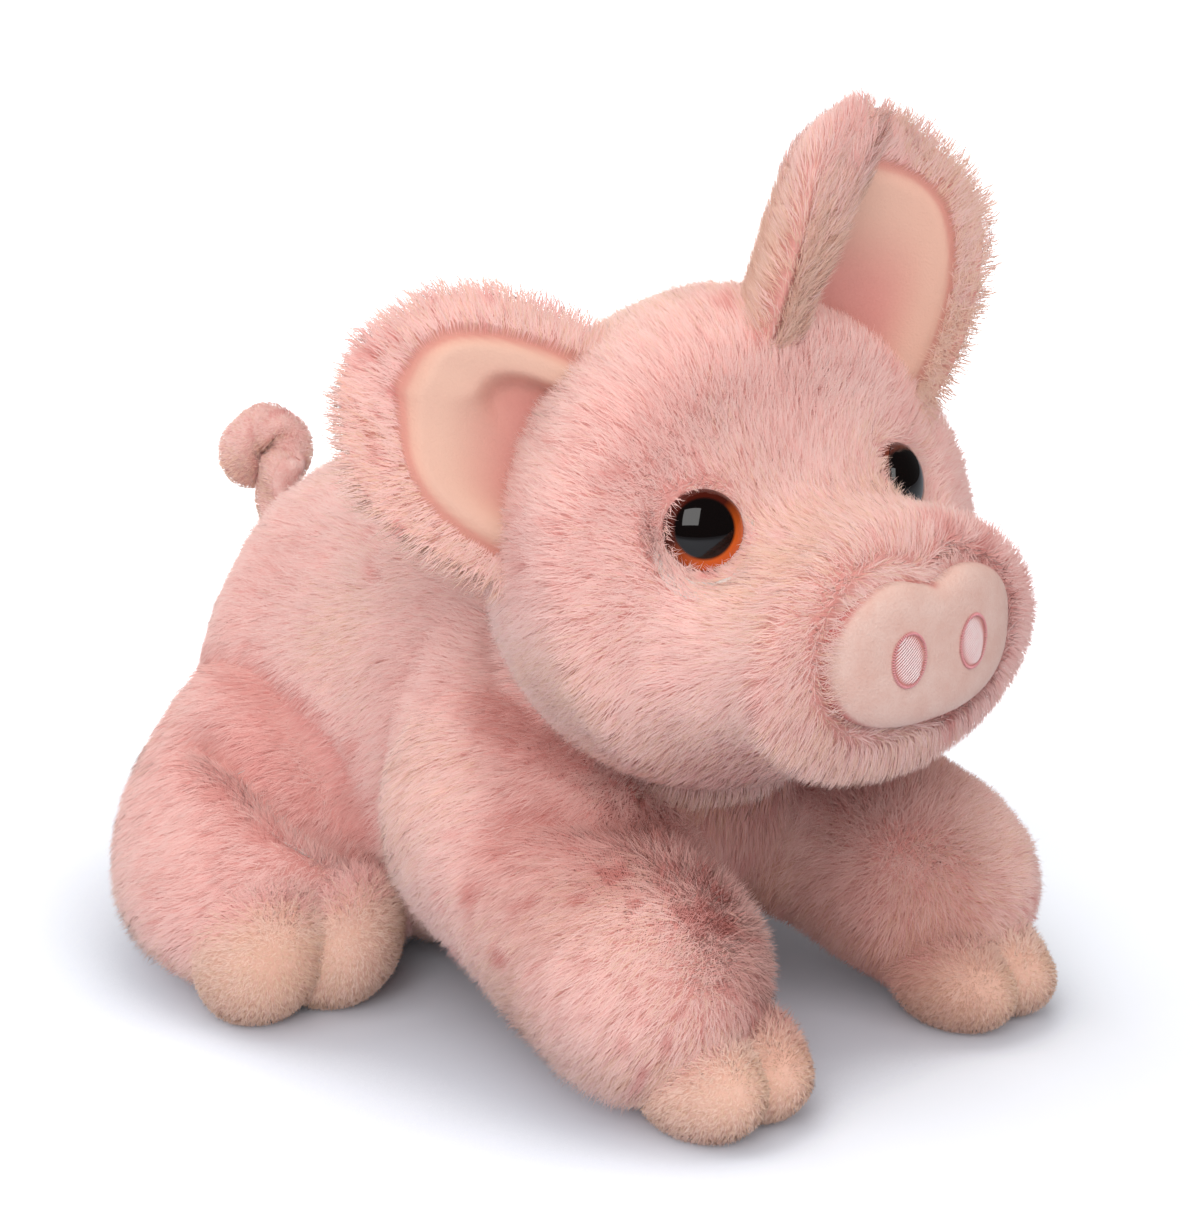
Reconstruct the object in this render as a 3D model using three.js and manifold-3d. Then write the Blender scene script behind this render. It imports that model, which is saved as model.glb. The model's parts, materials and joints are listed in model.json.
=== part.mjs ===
// A plush pig, lying on its belly with all four legs spread, in millimetres.
// Z is up and the pig looks along -Y, so its left side is +X.
// The origin is on the ground below the middle of the toy.
import * as THREE from "three";
import { mergeVertices } from "three/addons/utils/BufferGeometryUtils.js";
import Module from "manifold-3d";

const wasm = await Module();
wasm.setup();

// Fabric and fit
const pileWall = 9;
const seamGap = 0.3;
const chinRoom = 4.5;
const flatDepth = 0.5;
const overrun = 60;
const weld = 0.0001;

// Body: a barrel from the chest at the front to the rump
const bodyLength = 237;
const bodyWidth = 134;
const bodyHeight = 157;
const bodyFront = -66;
const bodyPinchShare = 0.06;
// Each row: place along the length, half width, underside and top.
const bodyRowShares = [
  [0, 0.42, 0.4, 0.74],
  [0.1, 0.66, 0.2, 0.88],
  [0.28, 0.92, 0.03, 0.98],
  [0.5, 1, 0, 1],
  [0.68, 0.99, 0, 0.97],
  [0.85, 0.88, 0.01, 0.87],
  [1, 0.72, 0.05, 0.64],
];
const neckHoleWidth = 48;

// Head: a broad skull with full cheeks, and a muzzle that stands out from its face
const headLength = 145;
const headWidth = 172;
const headHeight = 146;
const headBack = 12;
const headUnderside = 77;
// Each row: place along the length, half width, underside, top and how far the top is narrowed.
const headRowShares = [
  [0, 0.42, 0.18, 0.8, 0.1],
  [0.18, 0.7, 0.08, 0.92, 0.1],
  [0.4, 0.96, 0, 1, 0.03],
  [0.56, 1.02, 0, 0.93, 0],
  [0.64, 0.95, 0.02, 0.765, 0.02],
  [0.72, 0.79, 0.06, 0.65, 0.05],
  [0.82, 0.7, 0.09, 0.635, 0.06],
  [0.93, 0.7, 0.09, 0.63, 0.02],
  [1, 0.63, 0.13, 0.61, 0],
];

// Nose pad: a cushion with two lobes above and a bowed lower edge, set into the muzzle
const padWidth = 76;
const padHeight = 43;
const padDepth = 10;
const padProud = 2.5;
const padBow = 4;
const padDip = 4;
const padRiseShare = 0.385;
// Each row: size of the ring and how far back it lies.
const padRingShares = [
  [0.45, 0.02],
  [0.75, 0.1],
  [0.93, 0.28],
  [1, 0.55],
  [0.94, 0.85],
  [0.6, 1],
];
const nostrilWidth = 13;
const nostrilHeight = 16;
const nostrilProud = 1;
const nostrilSpacing = 27;
const nostrilDrop = 0.5;

// Eyes: a domed disc on a coloured plate, whose shank is held by a washer inside the head
const eyeRadius = 11.5;
const eyeDomeHeight = 7;
const eyeSink = 7;
const eyePlateDepth = 2;
const eyeFabric = 1.6;
const eyePatchRim = 2.5;
const shankRadius = 3;
const shankTail = 3;
const washerRadius = 10;
const washerDepth = 2.4;
// A point behind the right eye, across, back and up the head, and the way that the eye looks.
const eyePlaceShares = [-0.27, 0.45, 0.55];
const eyeLookShares = [-0.5, -0.84, 0.2];

// Ears: leaves of fur with a short-pile lining; the right one flops out and the left one stands up
const earWidth = 92;
const earPileDepth = 9;
const earLiningDepth = 2.5;
const earRim = 9;
const earTuck = 14;
// Half width of an ear, from the root to the tip.
const earOutlineShares = [0.85, 0.96, 1, 0.99, 0.93, 0.8, 0.55];
// The two ends of each ear's seam and its tip, across, back and up the head, and how far the ear is rolled.
const earShares = {
  right: { top: [-0.18, 0.32, 0.97], foot: [-0.9, 0.38, 0.32], tip: [-1.2, 0.08, 0.9], width: 0.96, roll: 0.5 },
  left: { top: [0, 0.4, 0.98], foot: [0.86, 0.44, 0.7], tip: [0.64, 0.5, 1.35], width: 1.135, roll: 1.05 },
};

// Front legs, spread forwards
const frontLegRadius = 38;
const frontLegSpread = 59;
const frontLegReach = 117;
const frontLegStart = 12;
const frontShoulderRise = 34;
// Each row: sideways, forwards, lift of the underside, half width and half height.
const frontLegRowShares = [
  [0.66, 0, 1, 0.86, 0.86],
  [0.84, 0.22, 0.82, 0.98, 1],
  [0.94, 0.5, 0.3, 0.96, 0.98],
  [1, 0.78, 0.02, 0.99, 0.92],
  [1, 1, 0, 0.93, 0.8],
];

// Hind legs, folded at the haunch with the foot out to the side
const hindLegRadius = 45;
const hindLegSpread = 91;
const hindLegRear = 118;
const hindLegFront = 31;
const hindPinchShare = 0.3;
const haunchRise = 12;
const hindLegRowShares = [
  [0.48, 0, 1, 0.8, 0.84],
  [0.66, 0.26, 0.2, 0.98, 0.98],
  [0.84, 0.54, 0.01, 0.95, 0.86],
  [0.95, 0.83, 0, 0.76, 0.64],
  [1, 1, 0, 0.58, 0.52],
];

// Hooves: two short-pile toes at the end of each leg
const frontToeWidth = 28;
const frontToeHeight = 27;
const frontToeLength = 42;
const frontToeTurn = 0;
const hindToeWidth = 38;
const hindToeHeight = 38;
const hindToeLength = 40;
const hindToeTurn = 15;
const toeProudShare = 0.22;
const toeSpacingShare = 0.66;
const frontToeInward = 5;
const hindToeInward = 1.5;

// Tail: one plush cord with a curl
const tailRadius = 5.6;
const tailCurlRadius = 7.5;
const tailPitch = 14;
const tailRise = 24;
const tailTurns = 1.45;
const tailSteps = 16;
const tailSides = 7;
const tailSunk = 12;
const tailRootRiseShare = 0.74;

// How far each sewn-on piece bends at its seam, in degrees
const headBend = [-4, 8];
const legBend = [0, 8];
const earBend = [-10, 10];
const tailBend = [-12, 12];
const bendSteps = 2;

// Facets
const bodyAlong = 13;
const bodyAround = 24;
const headAlong = 17;
const headAround = 24;
const legAlong = 8;
const legAround = 16;
const innerAlong = 8;
const innerAround = 12;
const earAlong = 8;
const earAround = 16;
const padAround = 26;
const toeAround = 11;
const toeAlong = 6;
const eyeAround = 16;
const eyeRings = 5;

const point = (x, y, z) => new THREE.Vector3(x, y, z);
const sideways = point(1, 0, 0);
const upright = point(0, 0, 1);
const half = (size) => size / 2;

// Turns a closed geometry into a solid.
function solid(geometry) {
  const bare = geometry.clone();
  bare.deleteAttribute("normal");
  bare.deleteAttribute("uv");
  const merged = mergeVertices(bare, weld);
  const vertProperties = new Float32Array(merged.attributes.position.array);
  const triVerts = new Uint32Array(merged.index.array);
  return new wasm.Manifold(new wasm.Mesh({ numProp: 3, vertProperties, triVerts }));
}

// Turns a solid back into a geometry.
function geometryOf(shape) {
  const { vertProperties, triVerts } = shape.getMesh();
  const geometry = new THREE.BufferGeometry();
  geometry.setAttribute("position", new THREE.BufferAttribute(new Float32Array(vertProperties), 3));
  geometry.setIndex(new THREE.BufferAttribute(new Uint32Array(triVerts), 1));
  return geometry;
}

// Signed volume of an indexed closed geometry.
function volumeOf({ attributes: { position }, index }) {
  const [a, b, c] = [point(0, 0, 0), point(0, 0, 0), point(0, 0, 0)];
  let volume = 0;
  for (let i = 0; i < index.count; i += 3) {
    a.fromBufferAttribute(position, index.getX(i));
    b.fromBufferAttribute(position, index.getX(i + 1));
    c.fromBufferAttribute(position, index.getX(i + 2));
    volume += a.dot(b.cross(c)) / 6;
  }
  return volume;
}

// A closed skin over rings of points, from one end point to the other, moved inwards by inset.
function skin(start, rings, end, inset = 0) {
  const around = rings[0].length;
  const points = [start, ...rings.flat(), end];
  const last = points.length - 1;
  const faces = [];
  const at = (ring, step) => 1 + ring * around + (step % around);
  for (let step = 0; step < around; step++) {
    faces.push(0, at(0, step + 1), at(0, step));
    faces.push(last, at(rings.length - 1, step), at(rings.length - 1, step + 1));
    for (let ring = 0; ring < rings.length - 1; ring++) {
      faces.push(at(ring, step), at(ring, step + 1), at(ring + 1, step));
      faces.push(at(ring, step + 1), at(ring + 1, step + 1), at(ring + 1, step));
    }
  }
  const geometry = new THREE.BufferGeometry().setFromPoints(points);
  geometry.setIndex(faces);
  if (volumeOf(geometry) < 0) geometry.setIndex(faces.reverse());
  geometry.computeVertexNormals();
  const normals = geometry.attributes.normal;
  const inwards = (i) => point(0, 0, 0).fromBufferAttribute(normals, i).multiplyScalar(-inset);
  const moved = new THREE.BufferGeometry().setFromPoints(points.map((p, i) => p.clone().add(inwards(i))));
  moved.setIndex(geometry.index);
  return moved;
}

// Smooth values between the rows of a table, at a share of the way along it.
function smooth(rows) {
  const curve = new THREE.CatmullRomCurve3(rows.map((row) => point(...row)), false, "catmullrom");
  return (t) => curve.getPoint(t);
}

// A soft form of upright rings along a path, domed at both ends.
// Each row: x, y, half width, underside, top and how far the top is narrowed.
function ringForm(rows, { along, around, capShare, inset = 0 }) {
  const path = smooth(rows.map((row) => row.slice(0, 3)));
  const levels = smooth(rows.map((row) => row.slice(3, 6)));
  const reach = 1 / (2 * along);
  const middle = (t) => point(path(t).x, path(t).y, half(levels(t).x + levels(t).y));
  const rings = Array.from({ length: along - 1 }, (_, i) => {
    const t = half(1 - Math.cos((Math.PI * (i + 1)) / along));
    const { x: low, y: high, z: pinch } = levels(t);
    const ahead = path(Math.min(t + reach, 1)).sub(path(Math.max(t - reach, 0)));
    const side = point(-ahead.y, ahead.x, 0).normalize();
    const cap = Math.sqrt(1 - Math.max(0, 1 - Math.min(t, 1 - t) / capShare) ** 2);
    return Array.from({ length: around }, (_, step) => {
      const turn = (step / around) * Math.PI * 2;
      const out = path(t).z * cap * Math.sin(turn) * (1 - pinch * Math.cos(turn));
      return middle(t).addScaledVector(side, out).addScaledVector(upright, half(high - low) * cap * Math.cos(turn));
    });
  });
  return skin(middle(0), rings, middle(1), inset);
}

// A rod or disc from one distance to another along an axis.
function rod(radius, origin, axis, from, to) {
  const geometry = new THREE.CylinderGeometry(radius, radius, to - from, eyeAround);
  geometry.translate(0, half(from + to), 0);
  geometry.applyQuaternion(new THREE.Quaternion().setFromUnitVectors(point(0, 1, 0), axis));
  return solid(geometry.translate(origin.x, origin.y, origin.z));
}

// An oval ball of the given width, length and height, turned about the vertical.
function ball(centre, width, length, height, degrees) {
  const geometry = new THREE.SphereGeometry(1, toeAround, toeAlong).rotateX(Math.PI / 2);
  geometry.scale(half(width), half(length), half(height)).rotateZ(THREE.MathUtils.degToRad(degrees));
  return solid(geometry.translate(centre.x, centre.y, centre.z));
}

// All that a shape sweeps while it turns about an axis, in degrees.
function swept(shape, pivot, axis, [least, most]) {
  let all = shape;
  for (let step = 0; step <= bendSteps; step++) {
    const angle = THREE.MathUtils.degToRad(least + ((most - least) * step) / bendSteps);
    const turn = new THREE.Matrix4().makeTranslation(pivot.x, pivot.y, pivot.z);
    turn.multiply(new THREE.Matrix4().makeRotationAxis(axis, angle));
    turn.multiply(new THREE.Matrix4().makeTranslation(-pivot.x, -pivot.y, -pivot.z));
    all = all.add(shape.transform(turn.elements));
  }
  return all;
}
const backwards = ([least, most]) => [-most, -least];

// The ground, and the toy's flat resting faces on it.
const groundBox = new THREE.BoxGeometry(bodyLength * 4, bodyLength * 4, overrun);
const ground = solid(groundBox.translate(0, 0, -half(overrun)));
const innerCounts = { along: innerAlong, around: innerAround };

const finish = {
  fur: { color: "#eebcb8", roughness: 0.95, metalness: 0 },
  lining: { color: "#f6c9bd", roughness: 0.8, metalness: 0 },
  hoof: { color: "#f3cdb8", roughness: 0.85, metalness: 0 },
  filling: { color: "#f4f2ee", roughness: 1, metalness: 0 },
  stitch: { color: "#f3b9bd", roughness: 0.6, metalness: 0 },
  eye: { color: "#2a120a", roughness: 0.05, metalness: 0 },
  amber: { color: "#c2531c", roughness: 0.3, metalness: 0 },
  plastic: { color: "#e9e6df", roughness: 0.5, metalness: 0 },
};
const pig = new THREE.Group();

// Adds a piece to the toy.
function add(name, shape, look) {
  const mesh = new THREE.Mesh(geometryOf(shape), new THREE.MeshStandardMaterial(finish[look]));
  mesh.name = name;
  pig.add(mesh);
}

// Body
const bodyRows = bodyRowShares.map(([y, width, low, high]) => [
  0,
  bodyFront + y * bodyLength,
  half(width * bodyWidth),
  low * bodyHeight - flatDepth,
  high * bodyHeight,
  bodyPinchShare,
]);
const bodyCounts = { along: bodyAlong, around: bodyAround, capShare: 0.3 };
const bodyForm = (inset, counts) => solid(ringForm(bodyRows, { ...bodyCounts, ...counts, inset }));
const body = bodyForm(0);
const roundBody = bodyForm(-seamGap);

// Head
const headPoint = ([across, back, up]) =>
  point(half(across * headWidth), headBack - back * headLength, headUnderside + up * headHeight);
const headRows = headRowShares.map(([y, width, low, high, pinch]) => {
  const [bottom, top] = [headPoint([width, y, low]), headPoint([width, y, high])];
  return [0, bottom.y, bottom.x, bottom.z, top.z, pinch];
});
const headCounts = { along: headAlong, around: headAround, capShare: 0.18 };
const headSkin = ringForm(headRows, headCounts);
const headForm = (inset, counts) => solid(ringForm(headRows, { ...headCounts, ...counts, inset }));
const head = headForm(0);
const roundHead = headForm(-seamGap);
const neck = headPoint([0, 0.2, 0.2]);
const bodyPastHead = swept(roundBody, neck, sideways, headBend);

// A point of the head's skin, found along a line from inside.
function headSkinAt(inside, look) {
  const skinMesh = new THREE.Mesh(headSkin, new THREE.MeshBasicMaterial({ side: THREE.DoubleSide }));
  const hits = new THREE.Raycaster(inside, look).intersectObject(skinMesh);
  return hits[hits.length - 1].point;
}

let headCover = head.subtract(headForm(pileWall, innerCounts));
let headFilling = headForm(pileWall + seamGap, innerCounts);

// Eyes
const sides = { right: 1, left: -1 };
for (const [name, mirror] of Object.entries(sides)) {
  const inside = headPoint(eyePlaceShares).multiply(point(mirror, 1, 1));
  const look = point(...eyeLookShares).multiply(point(mirror, 1, 1)).normalize();
  const seat = headSkinAt(inside, look).addScaledVector(look, -eyeSink);
  const dome = [point(0, 0, 0), point(eyeRadius, 0, 0)];
  for (let ring = 1; ring < eyeRings; ring++) {
    const turn = (ring / eyeRings) * half(Math.PI);
    dome.push(point(eyeRadius * Math.cos(turn), eyeDomeHeight * Math.sin(turn), 0));
  }
  dome.push(point(0, eyeDomeHeight, 0));
  const lathe = new THREE.LatheGeometry(dome, eyeAround);
  lathe.applyQuaternion(new THREE.Quaternion().setFromUnitVectors(point(0, 1, 0), look));
  add(`eye_dome_${name}`, solid(lathe.translate(seat.x, seat.y, seat.z)), "eye");
  const plateBack = -seamGap - eyePlateDepth;
  const patchBack = plateBack - seamGap - eyeFabric;
  const washerBack = patchBack - seamGap - washerDepth;
  const shank = rod(shankRadius, seat, look, washerBack - shankTail, plateBack + half(eyePlateDepth));
  add(`eye_plate_${name}`, rod(eyeRadius, seat, look, plateBack, -seamGap).add(shank), "amber");
  const bore = rod(shankRadius + seamGap, seat, look, -overrun, overrun);
  const washer = rod(washerRadius, seat, look, washerBack, washerBack + washerDepth).subtract(bore);
  add(`eye_washer_${name}`, washer, "plastic");
  const patchRadius = eyeRadius + eyePatchRim;
  headCover = headCover
    .add(rod(patchRadius, seat, look, patchBack, plateBack - seamGap))
    .subtract(rod(eyeRadius + seamGap, seat, look, plateBack - seamGap, overrun))
    .subtract(rod(washerRadius + seamGap, seat, look, washerBack - overrun / 4, patchBack))
    .subtract(rod(shankRadius + seamGap, seat, look, washerBack, overrun));
  headFilling = headFilling
    .subtract(rod(patchRadius + seamGap, seat, look, patchBack - seamGap, overrun))
    .subtract(rod(washerRadius + seamGap, seat, look, washerBack - seamGap, overrun))
    .subtract(rod(shankRadius + seamGap, seat, look, washerBack - shankTail - seamGap, overrun));
}

// Nose pad
const muzzleFront = headBack - headLength;
function padForm(inset) {
  const ringAt = ([size, back]) =>
    Array.from({ length: padAround }, (_, step) => {
      const turn = (step / padAround) * Math.PI * 2;
      const square = (value) => Math.sign(value) * Math.abs(value) ** 0.8;
      const x = half(padWidth) * size * square(Math.cos(turn));
      const dip = padDip * size * Math.max(0, Math.sin(turn)) * Math.exp(-((x / padHeight / 0.22) ** 2));
      const z = headPoint([0, 0, padRiseShare]).z + half(padHeight) * size * square(Math.sin(turn)) - dip;
      return point(x, muzzleFront - padProud + back * padDepth + padBow * (x / half(padWidth)) ** 2, z);
    });
  const endAt = (back) => headPoint([0, 0, padRiseShare]).setY(muzzleFront - padProud + back * padDepth);
  return solid(skin(endAt(0), padRingShares.map(ringAt), endAt(1), inset));
}
const pad = padForm(0);
const roundPad = padForm(-seamGap);
add("nose_pad", pad, "lining");
for (const [name, mirror] of Object.entries(sides)) {
  const level = headPoint([0, 0, padRiseShare]).z - nostrilDrop;
  const centre = point(-mirror * half(nostrilSpacing), muzzleFront - padProud, level);
  const stitches = ball(centre, nostrilWidth, 2 * nostrilProud + padBow / 2, nostrilHeight, 0);
  add(`nostril_${name}`, stitches.subtract(roundPad), "stitch");
}
const padRoom = roundPad.add(roundPad.translate(0, -padDepth, 0));
headCover = headCover.subtract(padRoom);
headFilling = headFilling.subtract(roundPad);

// Ears
function ear(shares) {
  const [top, foot, tip] = [shares.top, shares.foot, shares.tip].map(headPoint);
  const root = top.clone().add(foot).divideScalar(2);
  const axis = tip.clone().sub(root).normalize();
  const length = tip.distanceTo(root);
  const across = top.clone().sub(foot);
  across.addScaledVector(axis, -across.dot(axis)).normalize();
  const front = axis.clone().cross(across);
  if (front.y > 0) front.negate();
  const outline = smooth(earOutlineShares.map((share, i) => [i, share, 0]));
  const form = ({ thick, rim = 0, oneSided = false, inset = 0 }) => {
    const at = (along) => root.clone().addScaledVector(axis, along);
    const tipEnd = length - rim;
    const rings = Array.from({ length: earAlong }, (_, i) => {
      const t = i / earAlong;
      const cap = Math.sqrt(1 - Math.max(0, (t - 0.75) / 0.25) ** 2);
      const reach = (half(outline(t).y * shares.width * earWidth) - rim) * cap;
      const bend = (half(outline(t).y * shares.width * earWidth) / half(earWidth)) * shares.roll;
      const radius = reach / bend;
      return Array.from({ length: earAround }, (_, step) => {
        const turn = (step / earAround) * Math.PI * 2;
        const rolled = bend * Math.cos(turn);
        const depth = Math.sin(turn) > 0 || !oneSided ? thick * Math.sin(turn) * cap : 0;
        return at(-earTuck + t * (tipEnd + earTuck))
          .addScaledVector(across, (radius - depth) * Math.sin(rolled))
          .addScaledVector(front, radius - (radius - depth) * Math.cos(rolled));
      });
    });
    return solid(skin(at(-earTuck), rings, at(tipEnd), inset));
  };
  return { form, root, seam: top.clone().sub(foot).normalize() };
}
for (const [name, shares] of Object.entries(earShares)) {
  const { form, root, seam } = ear(shares);
  const headPastEar = swept(roundHead, root, seam, earBend);
  const back = form({ thick: half(earPileDepth) });
  const roundBack = form({ thick: half(earPileDepth), inset: -seamGap });
  const front = form({ thick: half(earPileDepth) + earLiningDepth, rim: earRim, oneSided: true });
  add(`ear_back_${name}`, back.subtract(headPastEar), "fur");
  add(`ear_lining_${name}`, front.subtract(roundBack).subtract(headPastEar), "lining");
}

// Legs, the same on both sides
const headPastLegs = swept(headForm(-chinRoom), neck, sideways, backwards(headBend));
function addLeg(name, rows, counts, pivot, toes) {
  const form = (inset, more) => solid(ringForm(rows, { ...counts, ...more, inset }));
  const past = swept(roundBody.add(headPastLegs), pivot, sideways, legBend);
  const leg = form(0);
  const hollow = form(pileWall, innerCounts);
  add(`${name}_cover`, leg.subtract(ground).subtract(past).subtract(hollow), "fur");
  add(`${name}_filling`, form(pileWall + seamGap, innerCounts).subtract(past), "filling");
  const roundLeg = form(-seamGap);
  let cut = roundLeg.add(ground);
  for (const [place, centre] of Object.entries(toes.centres)) {
    const toe = (room) => ball(centre, toes.width + room, toes.length + room, toes.height + room, toes.turn);
    add(`${name}_toe_${place}`, toe(0).subtract(cut), "hoof");
    cut = cut.add(toe(seamGap * 2));
  }
}

// The two toes side by side at the end of a leg.
function toePair(end, { width, length, height, turn, mirror }) {
  const facing = point(0, -1, 0).applyAxisAngle(upright, THREE.MathUtils.degToRad(turn));
  const across = point(mirror, 0, 0).applyAxisAngle(upright, THREE.MathUtils.degToRad(turn));
  const middle = end.clone().addScaledVector(facing, (toeProudShare - 0.5) * length).setZ(half(height) - flatDepth);
  const centres = {
    outer: middle.clone().addScaledVector(across, half(width * toeSpacingShare)),
    inner: middle.clone().addScaledVector(across, -half(width * toeSpacingShare)),
  };
  return { centres, width, length, height, turn };
}
const legCounts = { along: legAlong, around: legAround, capShare: 0.3 };
for (const [name, mirror] of Object.entries({ right: -1, left: 1 })) {
  const frontRows = frontLegRowShares.map(([x, y, lift, width, height]) => {
    const low = lift * frontShoulderRise - flatDepth;
    const place = [mirror * x * frontLegSpread, frontLegStart - y * (frontLegReach + frontLegStart)];
    return [...place, width * frontLegRadius, low, low + 2 * height * frontLegRadius, 0];
  });
  const shoulder = point(...frontRows[1].slice(0, 2), half(frontRows[1][3] + frontRows[1][4]));
  const frontEnd = point(mirror * (frontLegSpread - frontToeInward), -frontLegReach, 0);
  const frontToes = { width: frontToeWidth, length: frontToeLength, height: frontToeHeight };
  const frontPair = toePair(frontEnd, { ...frontToes, turn: mirror * frontToeTurn, mirror });
  addLeg(`front_leg_${name}`, frontRows, legCounts, shoulder, frontPair);

  const hindRows = hindLegRowShares.map(([x, y, lift, width, height]) => {
    const low = lift * haunchRise - flatDepth;
    const place = [mirror * x * hindLegSpread, hindLegRear - y * (hindLegRear - hindLegFront)];
    return [...place, width * hindLegRadius, low, low + 2 * height * hindLegRadius, hindPinchShare];
  });
  const hip = point(hindRows[1][0], hindRows[0][1], half(hindRows[1][3] + hindRows[1][4]));
  const hindEnd = point(mirror * (hindLegSpread - hindToeInward), hindLegFront, 0);
  const hindToes = { width: hindToeWidth, length: hindToeLength, height: hindToeHeight };
  const hindPair = toePair(hindEnd, { ...hindToes, turn: mirror * hindToeTurn, mirror });
  addLeg(`hind_leg_${name}`, hindRows, legCounts, hip, hindPair);
}

// Tail: a short stem out of the rump, then the curl
const rump = point(0, bodyFront + 0.93 * bodyLength, tailRootRiseShare * bodyHeight);
const tailRoute = [rump.clone().add(point(0, -tailSunk, -half(tailSunk))), rump.clone()];
for (let step = 0; step <= tailSteps; step++) {
  const turn = (step / tailSteps) * tailTurns * Math.PI * 2;
  const along = (step / tailSteps) * tailTurns * tailPitch;
  const bend = point(tailCurlRadius * Math.sin(turn), along, tailRise - tailCurlRadius * Math.cos(turn));
  tailRoute.push(rump.clone().add(bend));
}
const tailPath = new THREE.CatmullRomCurve3(tailRoute);
const tailSection = new THREE.Shape(
  Array.from({ length: tailSides }, (_, i) => {
    const turn = (i / tailSides) * Math.PI * 2;
    return new THREE.Vector2(tailRadius * Math.cos(turn), tailRadius * Math.sin(turn));
  }),
);
const tail = new THREE.ExtrudeGeometry(tailSection, { steps: tailSteps * 2, extrudePath: tailPath });
const bodyPastTail = swept(roundBody, rump, sideways, tailBend);
add("tail_cord", solid(tail).subtract(bodyPastTail), "lining");

// The least gap between the turns of the curl.
const tailPoints = tailPath.getSpacedPoints(tailSteps * 8);
const tailSpan = tailPath.getLength() / (tailSteps * 8);
let tailGap = Infinity;
tailPoints.forEach((a, i) =>
  tailPoints.forEach((b, j) => {
    const apart = (j - i) * tailSpan > Math.PI * tailRadius * 1.3;
    if (apart) tailGap = Math.min(tailGap, a.distanceTo(b) - 2 * tailRadius);
  }),
);
console.log(`least gap in the tail's curl: ${tailGap.toFixed(2)} mm`);

// Skin of the body and head, once every piece that they carry is known
const neckHole = rod(half(neckHoleWidth), neck, upright, -overrun, overrun / 2);
add("body_cover", body.subtract(ground).subtract(bodyForm(pileWall, innerCounts)).subtract(neckHole), "fur");
add("body_filling", bodyForm(pileWall + seamGap, innerCounts), "filling");
add("head_cover", headCover.subtract(bodyPastHead), "fur");
add("head_filling", headFilling.subtract(bodyPastHead), "filling");

// The origin goes to the ground below the middle of the toy.
const middle = new THREE.Box3().setFromObject(pig).getCenter(point(0, 0, 0));
pig.children.forEach(({ geometry }) => geometry.translate(-middle.x, -middle.y, 0));
console.log(`moved back by: ${middle.y.toFixed(3)} mm`);

export default pig;
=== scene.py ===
"""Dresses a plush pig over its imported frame: combed pile, velour linings, glossy eyes and stitching.

Every length is in metres and in the frame's own axes: +X is the pig's left, -Y the way it looks
and +Z up. The forms repeat the frame's rows of shares, so each piece stays where its node is.
"""

import json
import logging
import math
from dataclasses import dataclass, field
from enum import Enum
from itertools import product
from typing import Callable, Sequence

import bpy
import numpy as np
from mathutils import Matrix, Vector


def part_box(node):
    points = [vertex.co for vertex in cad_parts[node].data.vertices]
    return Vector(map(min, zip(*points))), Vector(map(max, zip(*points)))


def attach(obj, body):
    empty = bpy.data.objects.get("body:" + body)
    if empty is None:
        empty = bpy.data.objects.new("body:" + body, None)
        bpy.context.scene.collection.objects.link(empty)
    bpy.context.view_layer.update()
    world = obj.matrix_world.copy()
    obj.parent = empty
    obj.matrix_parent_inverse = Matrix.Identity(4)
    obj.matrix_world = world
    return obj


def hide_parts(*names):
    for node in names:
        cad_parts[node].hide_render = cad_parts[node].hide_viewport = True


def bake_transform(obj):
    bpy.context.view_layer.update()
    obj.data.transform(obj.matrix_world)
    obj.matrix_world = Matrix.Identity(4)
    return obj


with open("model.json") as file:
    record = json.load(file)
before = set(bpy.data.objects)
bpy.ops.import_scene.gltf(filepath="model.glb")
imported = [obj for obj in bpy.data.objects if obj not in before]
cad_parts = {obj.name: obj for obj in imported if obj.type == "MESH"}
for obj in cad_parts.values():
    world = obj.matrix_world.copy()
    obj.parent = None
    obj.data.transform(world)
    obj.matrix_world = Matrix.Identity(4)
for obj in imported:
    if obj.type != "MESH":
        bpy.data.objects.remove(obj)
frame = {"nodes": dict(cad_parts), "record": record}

Points = np.ndarray
Colour = tuple[float, float, float]
Dye = tuple[Colour, Colour, Colour]
Field = Callable[[Points, Points], Points]
Rows = Sequence[Sequence[float]]
Socket = bpy.types.NodeSocket
Place = tuple[float, float, float]

MM = 0.001
LOG = logging.getLogger("plush_pig")
MAP = "OFBake"
DYE_SHARES = (0.05, 0.55, 0.93)
FIBRE_HEIGHT = 0.6 * MM
STEADY = 0.55
CREST_SHEEN = "crest"
SEAM_AND_SHADE = "seam"
BODY_FRONT = -66 * MM
BODY_SIZE = (237 * MM, 134 * MM, 157 * MM)
BODY_PINCH = 0.06
BODY_CAP, HEAD_CAP, LEG_CAP = 0.3, 0.18, 0.3
GROUND_CUT = 0.5 * MM
PILE_RISE = 6.0 * MM
SUNK_ROOTS = 10 * MM
HEAD_HIDES = 7 * MM
MIDDLE_Y = float(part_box("body_cover")[0].y) - BODY_FRONT


class Side(Enum):
    """The two sides of the pig, with the sign of X on each."""

    RIGHT = -1
    LEFT = 1

    @property
    def label(self) -> str:
        """The side's name in the frame's nodes."""
        return self.name.lower()


class Tint(Enum):
    """The four dye tints that the hairs of the pile are mixed from."""

    ROSE = 0
    PINK = 1
    PALE = 2
    BEIGE = 3


# Small maths on arrays of points


def unit(vectors: Points) -> Points:
    """Vectors made one long.

    Args:
        vectors: array whose last axis is x, y, z.

    Returns:
        The array of the same shape, each vector divided by its length.
    """
    size = np.linalg.norm(vectors, axis=-1, keepdims=True)
    return vectors / np.maximum(size, 1e-12)


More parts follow.
